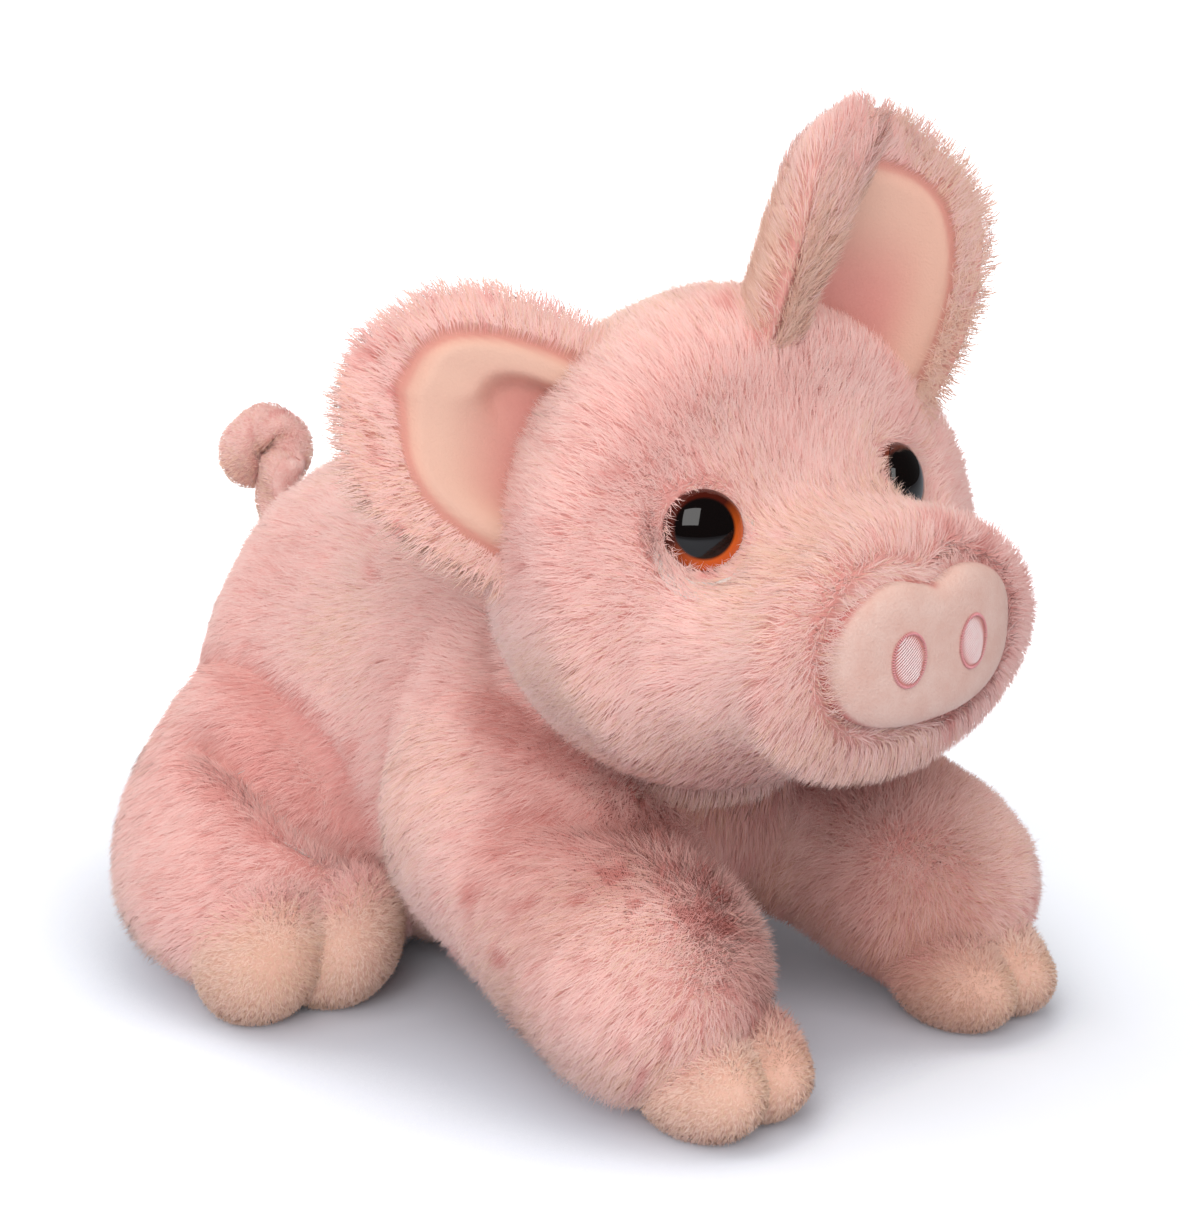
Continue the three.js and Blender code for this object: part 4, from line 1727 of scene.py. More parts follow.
@dataclass
class NosePad:
    """The cushion on the muzzle, with two lobes above, a bowed lower edge and stitched nostrils.

    Attributes:
        width: width of the cushion.
        height: height of the cushion.
        depth: thickness of the cushion.
        proud: how far it stands before the muzzle.
        bow: how far its sides lie back.
        dip: depth of the notch above.
        nostril_width: width of a nostril.
        nostril_height: height of a nostril.
        spacing: between the nostrils' middles.
        drop: how far below the pad's middle they are.
        edge_reach: where the satin edge starts and ends, from a nostril's outline.
        edge_thread: width of the edge's thread, and how far it stands up.
        fill_thread: the same of the fill's thread.
        fill_rows: threads across a nostril.
        fill_inset: how far inside the outline they end.
        slant: how far the fill stitches lean, in radians.
        ring_shares: shares out from the middle and of the depth, down the cushion's side.
    """

    width: float = 76 * MM
    height: float = 43 * MM
    depth: float = 10 * MM
    proud: float = 2.5 * MM
    bow: float = 4 * MM
    dip: float = 4 * MM
    nostril_width: float = 13 * MM
    nostril_height: float = 16 * MM
    spacing: float = 27 * MM
    drop: float = 0.5 * MM
    edge_reach: tuple[float, float] = (-0.95 * MM, 0.1 * MM)
    edge_thread: tuple[float, float] = (0.55 * MM, 0.75 * MM)
    fill_thread: tuple[float, float] = (0.52 * MM, 0.42 * MM)
    fill_rows: int = 17
    fill_inset: float = 0.9 * MM
    slant: float = 0.55
    ring_shares: Rows = ((0, 0), (0.45, 0.02), (0.75, 0.1), (0.93, 0.28), (1, 0.55), (0.94, 0.85), (0.6, 1))

    @property
    def centre(self) -> Points:
        """Middle of the pad's front."""
        middle = HEAD.at((0, 1, 0.385))
        return middle - [0, self.proud, 0]

    def outline(self, size: Points, turn: Points) -> tuple[Points, Points]:
        """Sideways and upward offsets of the pad's outline: a squared oval with a notch above.

        Args:
            size: share of the full outline.
            turn: angle round the outline.

        Returns:
            The offsets x and z.
        """

        def square(value: Points) -> Points:
            """A cosine or sine, made squarer."""
            return np.sign(value) * np.abs(value) ** 0.8

        x = self.width / 2 * size * square(np.cos(turn))
        notch = self.dip * size * np.maximum(0, np.sin(turn)) * np.exp(-((x / (0.22 * self.height)) ** 2))
        return x, self.height / 2 * size * square(np.sin(turn)) - notch

    def outside(self, points: Points) -> Points:
        """How far points are outside the pad's outline, seen from the front; negative inside.

        Args:
            points: places, one a row.

        Returns:
            Distances in metres.
        """
        off = points - self.centre
        turn = np.arctan2(off[:, 2] / self.height, off[:, 0] / self.width)
        full = np.hypot(*self.outline(np.ones(len(off)), turn))
        return np.hypot(off[:, 0], off[:, 2]) - full

    def front(self, x: Points, z: Points) -> Points:
        """How far back the pad's front lies at an offset from its middle.

        Args:
            x: offsets sideways.
            z: offsets upwards.

        Returns:
            Distances behind the foremost point.
        """
        turn = np.arctan2(z / self.height, x / self.width)
        full_x, full_z = self.outline(np.ones_like(turn), turn)
        size = np.hypot(x, z) / np.maximum(np.hypot(full_x, full_z), 1e-9)
        table = rows_of(self.ring_shares)
        back = np.interp(size, table[:5, 0], table[:5, 1])
        return back * self.depth + self.bow * (x / (self.width / 2)) ** 2

    def build(self) -> None:
        """Makes the cushion and both nostrils."""
        table = along_rows(rows_of(self.ring_shares), np.linspace(0, 1, 60)[1:-1])
        turn = np.linspace(0, 2 * np.pi, 160, endpoint=False)[None]
        size, back = table[:, :1], table[:, 1:]
        x, z = self.outline(size, turn)
        y = back * self.depth + self.bow * (x / (self.width / 2)) ** 2
        rings = self.centre + np.stack([x, y, z], -1)
        surface = Surface(self.centre.copy(), rings, self.centre + [0, self.depth, 0])
        pad = surface.build("nose_cushion")
        corners = surface.arrays()[0]
        off = corners - self.centre
        across = (np.abs(off[:, 0]) - self.spacing / 2) / (self.nostril_width / 2)
        hole = np.hypot(across, (off[:, 2] + self.drop) / (self.nostril_height / 2))
        sewn = ease(-1.6 * MM, 0.6 * MM, self.outside(corners))
        mark(pad, SEAM_AND_SHADE, np.maximum(sewn, 0.8 * ease(1.0, 0.85, hole)))
        dress(pad, PAD.material())
        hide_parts("nose_pad")
        Hold("head").take([pad])
        for side in Side:
            self.nostril(side)

    def threads(self, starts: Points, ends: Points, width: float, lift: float) -> tuple[Points, Points]:
        """Satin threads that arch over the pad from starts to ends.

        Args:
            starts: offsets x and z where threads come up.
            ends: offsets where they go down.
            width: width of a thread.
            lift: height of a thread's middle.

        Returns:
            Corners and faces of the threads, each five rings of five points.
        """
        steps, sides = 6, 5
        s = np.linspace(0, 1, steps)[None, :, None]
        flat = starts[:, None] * (1 - s) + ends[:, None] * s
        rise = lift * np.sin(np.pi * s[..., 0]) ** 0.5 - 0.15 * MM
        y = self.front(flat[..., 0], flat[..., 1]) - rise
        line = self.centre + np.stack([flat[..., 0], y, flat[..., 1]], -1)
        way = unit(np.gradient(line, axis=1))
        over = np.cross(way, [0.0, -1.0, 0.0])
        up = np.cross(over, way)
        turn = np.arange(sides) / sides * 2 * np.pi
        taper = np.array([0.55, 0.9, 1, 1, 0.9, 0.55])[None, :, None, None]
        ring = over[:, :, None] * np.cos(turn)[:, None] + up[:, :, None] * np.sin(turn)[:, None]
        points = line[:, :, None] + ring * taper * width / 2
        count = len(starts)
        first = (np.arange(count) * steps * sides)[:, None, None]
        i, j = np.meshgrid(np.arange(steps - 1), np.arange(sides), indexing="ij")
        a = i * sides + j
        b = i * sides + (j + 1) % sides
        quads = np.stack([a, b, b + sides, a + sides], -1).reshape(1, -1, 4)
        quads = (quads + first).reshape(-1, 4)
        ends_of = [np.arange(sides)[::-1], (steps - 1) * sides + np.arange(sides)]
        fans = np.concatenate([np.stack([c[0] + 0 * c[1:-1], c[1:-1], c[2:]], 1) for c in ends_of])
        fans = (fans[None] + first).reshape(-1, 3)
        faces = np.vstack([quads[:, [0, 1, 2]], quads[:, [0, 2, 3]], fans])
        points = points.reshape(-1, 3)
        return points, facing_out(points, faces)

    def nostril(self, side: Side) -> None:
        """One nostril: slanting fill stitches inside a satin edge.

        Args:
            side: which nostril.
        """
        centre = np.array([side.value * self.spacing / 2, -self.drop])
        half = np.array([self.nostril_width, self.nostril_height]) / 2
        turn = np.linspace(0, 2 * np.pi, 64, endpoint=False)
        ring = np.stack([np.cos(turn), np.sin(turn)], 1)
        inner, outer = (centre + ring * (half + reach) for reach in self.edge_reach)
        edge = self.threads(inner, outer, *self.edge_thread)
        slant = np.array([math.cos(self.slant), math.sin(self.slant)])
        over = np.array([-slant[1], slant[0]])
        offset = np.linspace(-0.93, 0.93, self.fill_rows)
        reach = np.sqrt(1 - offset**2)
        middle = centre + offset[:, None] * over * (half - self.fill_inset)
        span = reach[:, None] * slant * (half - self.fill_inset)
        fill = self.threads(middle - span, middle + span, *self.fill_thread)
        edge_piece = mesh_object(f"nostril_edge_{side.label}", *edge)
        fill_piece = mesh_object(f"nostril_fill_{side.label}", *fill)
        dress(edge_piece, SATIN_EDGE.material())
        dress(fill_piece, SATIN.material())
        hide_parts(f"nostril_{side.label}")
        Hold("head").take([edge_piece, fill_piece])


@dataclass
class Head:
    """The head: its stuffed cover, combed pile, eyes and nose pad.

    Attributes:
        pile: how its pile grows.
        along: rings of the cover.
        around: points on each ring.
        eyes: both safety eyes.
        pad: the nose pad.
        parted: distances from an eye's middle between which the pile comes to stand up.
        clipped: distances from an eye between which the pile grows to its full length.
        seated: how much the pile's edge comes in over a dome.
        drawn: distances from an eye between which the cover is drawn in.
        pad_edge: distances from the pad between which the pile turns in over it.
        face: how far behind the pad's front the clipped face reaches.
    """

    pile: Pile = Pile()
    along: int = 136
    around: int = 160
    eyes: tuple[Eye, Eye] = (Eye(Side.RIGHT), Eye(Side.LEFT))
    pad: NosePad = field(default_factory=NosePad)
    parted: tuple[float, float] = (15 * MM, 11 * MM)
    clipped: tuple[float, float] = (12 * MM, 26 * MM)
    seated: float = 0.4 * MM
    drawn: tuple[float, float] = (20 * MM, 11 * MM)
    pad_edge: tuple[float, float] = (4.5 * MM, 1 * MM)
    face: float = 16 * MM

    def comb(self, points: Points, normals: Points) -> Points:
        """Pile lies as the head's does, but upright beside the eyes and in over the pad's edge.

        Args:
            points: places, one a row.
            normals: outward normals there.

        Returns:
            The way that hairs lean.
        """
        way = FORMS.flow("head")(points, normals)
        for eye in self.eyes:
            seat, look = eye.place()
            gap = points - seat
            flat = gap - look * (gap @ look)[:, None]
            far = np.linalg.norm(flat, axis=1)
            over = ease(0.3, 0.8, flat[:, 2] / np.maximum(far, 1e-6))
            close = ease(*self.parted, far)
            way = way * (1 - 0.8 * close)[:, None] - unit(gap) * (close * (0.25 + 0.55 * over))[:, None]
        edge = ease(*self.pad_edge, self.pad.outside(points))
        edge = edge * (points[:, 1] < self.pad.centre[1] + self.face)
        return way * (1 - 1.7 * edge)[:, None]

    def trim(self, points: Points, normals: Points) -> Points:
        """Pile is clipped short round the eyes and on the face, and longer on the cheeks.

        Args:
            points: places, one a row.
            normals: outward normals there.

        Returns:
            Shares of the full length.
        """
        share = 0.95 - 0.25 * ease(0.1, -0.7, normals[:, 2])
        for eye in self.eyes:
            seat, _ = eye.place()
            far = np.linalg.norm(points - seat, axis=1)
            share = share * (0.75 + 0.25 * ease(*self.clipped, far))
        front = ease(self.pad.centre[1] + self.face, self.pad.centre[1] + 6 * MM, points[:, 1])
        return share * (1 - 0.1 * front)

    def keep(self) -> Field:
        """A test for roots that show and lie outside the eyes and the nose pad.

        Returns:
            A function of roots and normals that gives the chance that each root is kept.
        """
        showing = FORMS.showing("head")

        def test(points: Points, normals: Points) -> Points:
            """1 for each root that is kept.

            Args:
                points: places, one a row.
                normals: outward normals there.

            Returns:
                The chance that each root is kept.
            """
            kept = showing(points, normals)
            for eye in self.eyes:
                seat, look = eye.place()
                gap = points - seat
                far = np.linalg.norm(gap - look * (gap @ look)[:, None], axis=1)
                kept = np.where((far < eye.radius - self.seated) & (gap @ look > -12 * MM), 0.0, kept)
            inside = self.pad.outside(points) < -1.0 * MM
            return np.where(inside & (points[:, 1] < self.pad.centre[1] + 20 * MM), 0.0, kept)

        return test

    def socket(self, surface: Surface) -> Surface:
        """The cover drawn in round each eye, so that the dome sits in a shallow socket.

        Args:
            surface: the cover.

        Returns:
            The cover with its sockets.
        """
        out = surface.normals()
        sink = np.zeros(surface.rings.shape[:2])
        for eye in self.eyes:
            seat, look = eye.place()
            gap = surface.rings - seat
            level = gap @ look
            far = np.linalg.norm(gap - look * level[..., None], axis=-1)
            near = (np.abs(level) < 30 * MM) * ease(*self.drawn, far)
            sink = np.maximum(sink, near * np.maximum(0, (gap * look).sum(-1) + 0.6 * MM))
        return surface.moved(-out * sink[..., None])

    def build(self) -> None:
        """Makes the cover, its pile and the face."""
        surface = FORMS.shapes["head"].surface(self.along, self.around).inset(PILE_RISE)
        surface = self.socket(FORMS.filled("head", surface))
        cover = surface.build("head_cloth")
        dress(cover, SKIN.material())
        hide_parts("head_cover")
        roots, normals = surface.scatter(self.pile.per_area, 5, self.keep())
        coat = Coat("head_pile", self.pile, self.comb, cloth_tone, cloth_tint, self.trim)
        pieces = coat.grow(roots, normals, 22)
        start = (0.0, MIDDLE_Y + 10 * MM, 85 * MM)
        end = (0.0, MIDDLE_Y - 40 * MM, 140 * MM)
        Hold("trunk", "head", start, end).take([cover, *pieces])
        for eye in self.eyes:
            eye.build()
        self.pad.build()


@dataclass
class Ear:
    """One ear: a leaf of pile rolled along its length, with a velour lining.

    Attributes:
        side: which ear.
        top: upper or inner end of its seam, in shares of the head.
        foot: lower or outer end of its seam.
        tip: its tip.
        wide: width against the usual one.
        roll: how far it is rolled.
        fold: half thickness of its upper or inner edge, where the cloth folds over.
        crest: height of the lining's raised border.
        slant: how far the lining's lower corner is cut off.
        cover: share of the lining that the fold comes over at the tip.
        width: usual width of an ear.
        thin: half thickness of the leaf in its middle.
        hem: how much thicker its lower or outer edge is.
        domed: share of the length where the rounded tip starts.
        rim: width of the furred rim round the lining.
        tuck: how far the leaf reaches into the head.
        margin: share of the lining's own size where its seam runs.
        outline_shares: half widths from the tuck to the tip.
        pile: how its pile grows.
    """

    side: Side
    top: Place
    foot: Place
    tip: Place
    wide: float
    roll: float
    fold: float
    crest: float
    slant: float
    cover: float
    width: float = 92 * MM
    thin: float = 2.4 * MM
    hem: float = 1.6 * MM
    domed: float = 0.75
    rim: float = 9 * MM
    tuck: float = 14 * MM
    margin: float = 0.86
    outline_shares: tuple[float, ...] = (0.85, 0.96, 1, 0.99, 0.93, 0.8, 0.55)
    pile: Pile = Pile(length=8.2 * MM, lean=0.9)

    def __post_init__(self) -> None:
        """Works out the ear's own axes."""
        top, foot, tip = (HEAD.at(v) for v in (self.top, self.foot, self.tip))
        self.root = (top + foot) / 2
        self.axis = unit(tip - self.root)
        self.length = float(np.linalg.norm(tip - self.root))
        across = top - foot
        self.across = unit(across - self.axis * (across @ self.axis))
        front = np.cross(self.axis, self.across)
        self.front = -front if front[1] > 0 else front

    def rounded(self, t: Points, least: float) -> Points:
        """Share of the half width left at the rounded tip: a quarter ellipse, held above a least square."""
        beyond = np.maximum(0, (t - self.domed) / (1 - self.domed))
        return np.sqrt(np.maximum(least, 1 - beyond**2))

    def half_width(self, t: Points) -> Points:
        """Half width of the ear at shares of its length, from a smooth table."""
        table = np.stack([np.arange(len(self.outline_shares)), self.outline_shares], 1)
        return along_rows(table, t)[..., 1] * self.wide * self.width / 2

    def sheet(self, t: Points, c: Points, depth: Points, rim: float) -> Points:
        """Points of the rolled leaf.

        The leaf is an arc across: its angle is the roll times the share across, its radius what gives
        the half width, and a positive depth lies towards the front.

        Args:
            t: shares along, from the tuck to the tip.
            c: shares across, -1 to 1.
            depth: offset to the front.
            rim: how much narrower and shorter than the full ear.

        Returns:
            The points.
        """
        cap = self.rounded(t, 0)
        full = self.half_width(t)
        reach = (full - rim) * cap
        bend = full / (self.width / 2) * self.roll
        radius = reach / bend
        place = -self.tuck + t * (self.length - rim + self.tuck)
        turned = bend * c
        base = self.root + self.axis * place[..., None]
        sideways = ((radius - depth * cap) * np.sin(turned))[..., None] * self.across
        forwards = (radius - (radius - depth * cap) * np.cos(turned))[..., None] * self.front
        return base + sideways + forwards

    def thickness(self, c: Points) -> Points:
        """Half thickness of the leaf at shares across: thin, and thicker at both edges."""
        return self.thin + (self.fold - self.thin) * ease(0.3, 0.8, c) + self.hem * ease(-0.5, -0.9, c)

    def leaf(self, rim: float, along: int = 60, around: int = 110) -> Surface:
        """A closed leaf: cosine of the turn across, and its sine times the thickness through.

        Args:
            rim: how much narrower and shorter than the full ear.
            along: rings from the tuck to the tip.
            around: points on each ring.

        Returns:
            The leaf.
        """
        t = np.linspace(0, 1, along, endpoint=False)[:, None]
        turn = np.linspace(0, 2 * np.pi, around, endpoint=False)[None]
        c = np.cos(turn) + 0 * t
        rings = self.sheet(t + 0 * turn, c, self.thickness(c) * np.sin(turn), rim)
        start = self.root - self.axis * self.tuck
        return Surface(start, rings, self.root + self.axis * (self.length - rim))

    def comb(self, points: Points, normals: Points) -> Points:
        """Pile lies outwards from the middle of the ear, towards its tip.

        Args:
            points: places, one a row.
            normals: outward normals there.

        Returns:
            The way that hairs lean.
        """
        off = points - self.root
        along = (off @ self.axis)[:, None] * self.axis
        sideways = (off @ self.across)[:, None] * self.across
        facing = np.clip((normals @ self.front), 0, 1)[:, None]
        outward = unit(sideways + 0.35 * along) * (0.35 + 0.65 * facing)
        if self.cover > 0:
            folded = (off @ self.across > 0)[:, None]
            along_fold = 0.2 * outward + 0.8 * self.axis + 0.3 * self.front
            outward = np.where(folded, along_fold, outward) + [0.25, 0.45, 0]
        return outward + 0.35 * self.axis - 0.55 * self.front

    def tint(self, points: Points, normals: Points) -> Points:
        """Paler than the body, and beige along the lower rim."""
        low = ease(0.0, -0.9, self.shares(points, self.rim)[1])
        return cloth_tint(points, normals) + 0.5 + 0.7 * low

    def trim(self, points: Points, normals: Points) -> Points:
        """Pile is clipped short at the back of the rim."""
        behind = ease(0.1, -0.4, normals @ self.front)
        return 1 - 0.4 * behind * ease(0.8, 1.0, np.abs(self.shares(points, self.rim)[1]))

    def shares(self, points: Points, rim: float) -> tuple[Points, Points]:
        """Shares along and across the rolled leaf of points near it.

        Args:
            points: places, one a row.
            rim: how much narrower and shorter than the full ear the shares are taken.

        Returns:
            Shares along, and shares across, which pass 1 beyond the rim.
        """
        off = points - self.root
        t = np.clip((off @ self.axis + self.tuck) / (self.length - rim + self.tuck), 0, 1.2)
        full = self.half_width(t)
        cap = self.rounded(t, 1e-4)
        bend = full / (self.width / 2) * self.roll
        radius = (full - rim) * cap / bend
        turned = np.arctan2(off @ self.across, radius - off @ self.front)
        return t, turned / bend

    def keep(self) -> Field:
        """A test for roots that show and lie off the lining."""

        def test(points: Points, normals: Points) -> Points:
            """1 for each root that is kept.

            Args:
                points: places, one a row.
                normals: outward normals there.

            Returns:
                The chance that each root is kept.
            """
            t, c = self.shares(points, self.rim)
            lined = (normals @ self.front > 0.2) & (np.abs(c) < 0.97) & (t < 0.97)
            hidden = FORMS.shapes["head"].depth_inside(points) > HEAD_HIDES
            return np.where(lined | hidden, 0.0, 1.0)

        return test

    def build(self) -> None:
        """Makes the leaf, its pile and its lining."""
        label = self.side.label
        leaf = self.leaf(5 * MM)
        cover = leaf.build(f"ear_cloth_{label}")
        dress(cover, SKIN.material())
        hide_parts(f"ear_back_{label}")
        surface = self.lined()
        roots, normals = leaf.scatter(self.pile.per_area, 7 + self.side.value, self.keep())
        edge, tilt = surface.scatter(self.pile.per_area, 17 + self.side.value, self.border())
        roots, normals = np.vstack([roots, edge]), np.vstack([normals, tilt])
        catch = tuple(1.6 * self.cover * self.front)
        coat = Coat(f"ear_pile_{label}", self.pile, self.comb, cloth_tone, self.tint, self.trim, catch=catch)
        pieces = coat.grow(roots, normals, 23 + self.side.value)
        lining = self.lining(surface)
        start = self.root - self.axis * 4 * MM
        end = self.root + self.axis * 12 * MM
        Hold("head", f"ear_{label}", tuple(start), tuple(end)).take([cover, *pieces, lining])

    def border(self) -> Field:
        """A test for roots on the lining's own margin, which the pile grows over."""

        def test(points: Points, normals: Points) -> Points:
            """1 for each root that is kept.

            Args:
                points: places, one a row.
                normals: outward normals there.

            Returns:
                The chance that each root is kept.
            """
            t, c = self.shares(points, self.rim)
            margin = self.edge(t, c) > 1
            hidden = FORMS.shapes["head"].depth_inside(points) > HEAD_HIDES
            return np.where(margin & (normals @ self.front > -0.2) & ~hidden, 1.0, 0.0)

        return test

    def edge(self, t: Points, c: Points) -> Points:
        """Share of the way from the lining's middle to its seam: a rounded box, slanted and folded over.

        Args:
            t: shares along the ear.
            c: shares across it, -1 to 1.

        Returns:
            0 in the middle, 1 on the seam and more beyond it.
        """
        tip = np.clip(t + self.slant * np.maximum(0, -c), 0, None)
        fold = np.where(c > 0, 1 - self.cover * ease(0.35, 1.0, t), 1.07)
        return (np.abs(c / fold) ** 6 + tip**6) ** (1 / 6) / self.margin

    def ridge(self, t: Points, c: Points) -> Points:
        """Height of the lining's raised border, from 0 to 1: it runs inside the seam and dips to it.

        Args:
            t: shares along the ear.
            c: shares across it, -1 to 1.

        Returns:
            Shares of the full height.
        """
        edge = self.edge(t, c)
        inner = 0.5 + 0.14 * ease(0.0, 0.3, c)
        roll = ease(0.0, 1.0, (edge - inner) / (0.86 - inner - 0.1 * ease(0.0, 0.3, c)))
        return roll * (1 - 0.8 * ease(0.92, 1.02, edge)) * (0.6 + 0.4 * ease(-0.3, 0.3, c))

    def lined(self) -> Surface:
        """The lining: a thin closed cushion on the leaf, dished in the middle.

        Returns:
            The closed cushion.
        """
        t = np.linspace(0, 1, 80, endpoint=False)[:, None]
        turn = np.linspace(0, 2 * np.pi, 120, endpoint=False)[None]
        c = np.cos(turn) + 0 * t
        front = np.sin(turn) > 0
        full = np.sqrt(np.abs(np.sin(turn)))
        seat = self.thickness(c) * np.abs(np.sin(turn))
        over = 6 * MM * self.cover * ease(1.0, 1.2, self.edge(t, c)) * (c > 0)
        puff = np.where(front, full * (1.4 * MM + self.crest * self.ridge(t, c) + over), -0.8 * MM * full)
        rings = self.sheet(t + 0 * turn, c, seat + 0.6 * MM + puff, self.rim)
        lift = self.front * (self.thin + 0.6 * MM)
        start, end = -self.tuck, self.length - self.rim
        return Surface(self.root + self.axis * start + lift, rings, self.root + self.axis * end + lift)

    def lining(self, surface: Surface) -> bpy.types.Object:
        """Builds the lining, paler along its raised border as painted sheen, with its seam and a painted
        shadow below its upper roll.

        Args:
            surface: the closed cushion.

        Returns:
            The dressed piece.
        """
        piece = surface.build(f"ear_velour_{self.side.label}")
        t, c = self.shares(surface.arrays()[0], self.rim)
        c = np.clip(c, -1, 1)
        # Painted sheen: the raised border is marked paler.
        mark(piece, CREST_SHEEN, 0.9 * ease(0.45, 0.85, self.edge(t, c)))
        edge = self.edge(t, c)
        sewn = ease(0.965, 1.0, edge) * np.where(c > 0, self.cover == 0, True)
        # Painted shadow below the lining's upper roll, carried by the seam mark.
        shadow = ease(0.3, 0.62, edge) * ease(0.72, 0.62, edge) * ease(0.0, 0.4, c)
        mark(piece, SEAM_AND_SHADE, 0.5 * sewn + 0.3 * shadow)
        dress(piece, LINING.material())
        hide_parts(f"ear_lining_{self.side.label}")
        return piece


@dataclass
class Toe:
    """One toe: an oval ball of short nap, flat where it meets the ground.

    Attributes:
        leg: stem of the leg's names.
        place: outer or inner.
        centre: the toe's middle.
        size: width, length and height.
        turn: the toe's turn about the vertical.
        lean: how far its top leans to the pig's right.
        flat: height of its lowest points.
        longer: how much longer its nap is where it meets the leg's pile.
        bare: how far behind the middle the nap starts, in half lengths.
    """

    leg: str
    place: str
    centre: Points
    size: Place
    turn: Points
    lean: float
    flat: float = 0.3 * MM
    longer: float = 2.6
    bare: float = 0.45

    @property
    def facing(self) -> Points:
        """The way that the toe points."""
        return self.turn @ [0, -1, 0]

    def surface(self) -> Surface:
        """The ball: sines and cosines of both turns times the half sizes, leaning over at the top.

        Returns:
            The closed surface.
        """
        down = np.linspace(0, np.pi, 34)[1:-1, None]
        swing = np.linspace(0, 2 * np.pi, 56, endpoint=False)[None]
        out = np.sin(down)
        ball = np.stack([out * np.cos(swing), out * np.sin(swing), np.cos(down) + 0 * swing], -1)
        rings = (ball * np.array(self.size) / 2) @ self.turn.T + self.centre
        rings[..., 0] -= self.lean * ball[..., 2]
        rings[..., 2] = np.maximum(rings[..., 2], self.flat)
        up = np.array([-self.lean, 0, self.size[2] / 2])
        low = self.centre - up
        low[2] = self.flat
        return Surface(self.centre + up, rings, low)

    def keep(self, points: Points, normals: Points) -> Points:
        """The chance that each root is kept: none at the back or on the ground."""
        front = (points - self.centre) @ self.facing > -self.bare * self.size[1] / 2
        return np.where(front & (points[:, 2] > 1.5 * MM), 1.0, 0.0)

    def comb(self, points: Points, normals: Points) -> Points:
        """Short pile lies back and down."""
        return -0.6 * self.facing + [0, 0, -0.6] + 0.2 * soft_noise(points, 6 * MM, 8, 3)

    def height(self, points: Points) -> Points:
        """0 on the front and underneath, 1 on the top and towards the leg."""
        off = (points - self.centre) / self.size[2]
        return ease(-0.12, 0.5, off[:, 2] - 0.5 * (off @ self.facing))

    def trim(self, points: Points, normals: Points) -> Points:
        """The nap grows longer towards the leg's pile."""
        return 1 + self.longer * self.height(points)

    def tint(self, points: Points, normals: Points) -> Points:
        """Pink where the leg's pile runs out over the toe, and beige in front."""
        return 2.6 - 2.8 * self.height(points) + 0.4 * soft_noise(points, 20 * MM, 15)[:, 0]

    def build(self) -> list[bpy.types.Object]:
        """Makes the toe and its nap.

        Returns:
            The toe and the pieces of its nap.
        """
        surface = self.surface()
        piece = surface.build(f"{self.leg}_velour_{self.place}")
        dress(piece, HOOF.material())
        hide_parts(f"{self.leg}_toe_{self.place}")
        roots, normals = surface.scatter(TOE_PILE.per_area, 51, self.keep)
        finish = PileFinish("pile_hoof", **HOOF_PILE)
        name = f"{self.leg}_nap_{self.place}"
        coat = Coat(name, TOE_PILE, self.comb, cloth_tone, self.tint, self.trim, finish)
        hairs = coat.grow(roots, normals, 52)
        return [piece, *hairs]


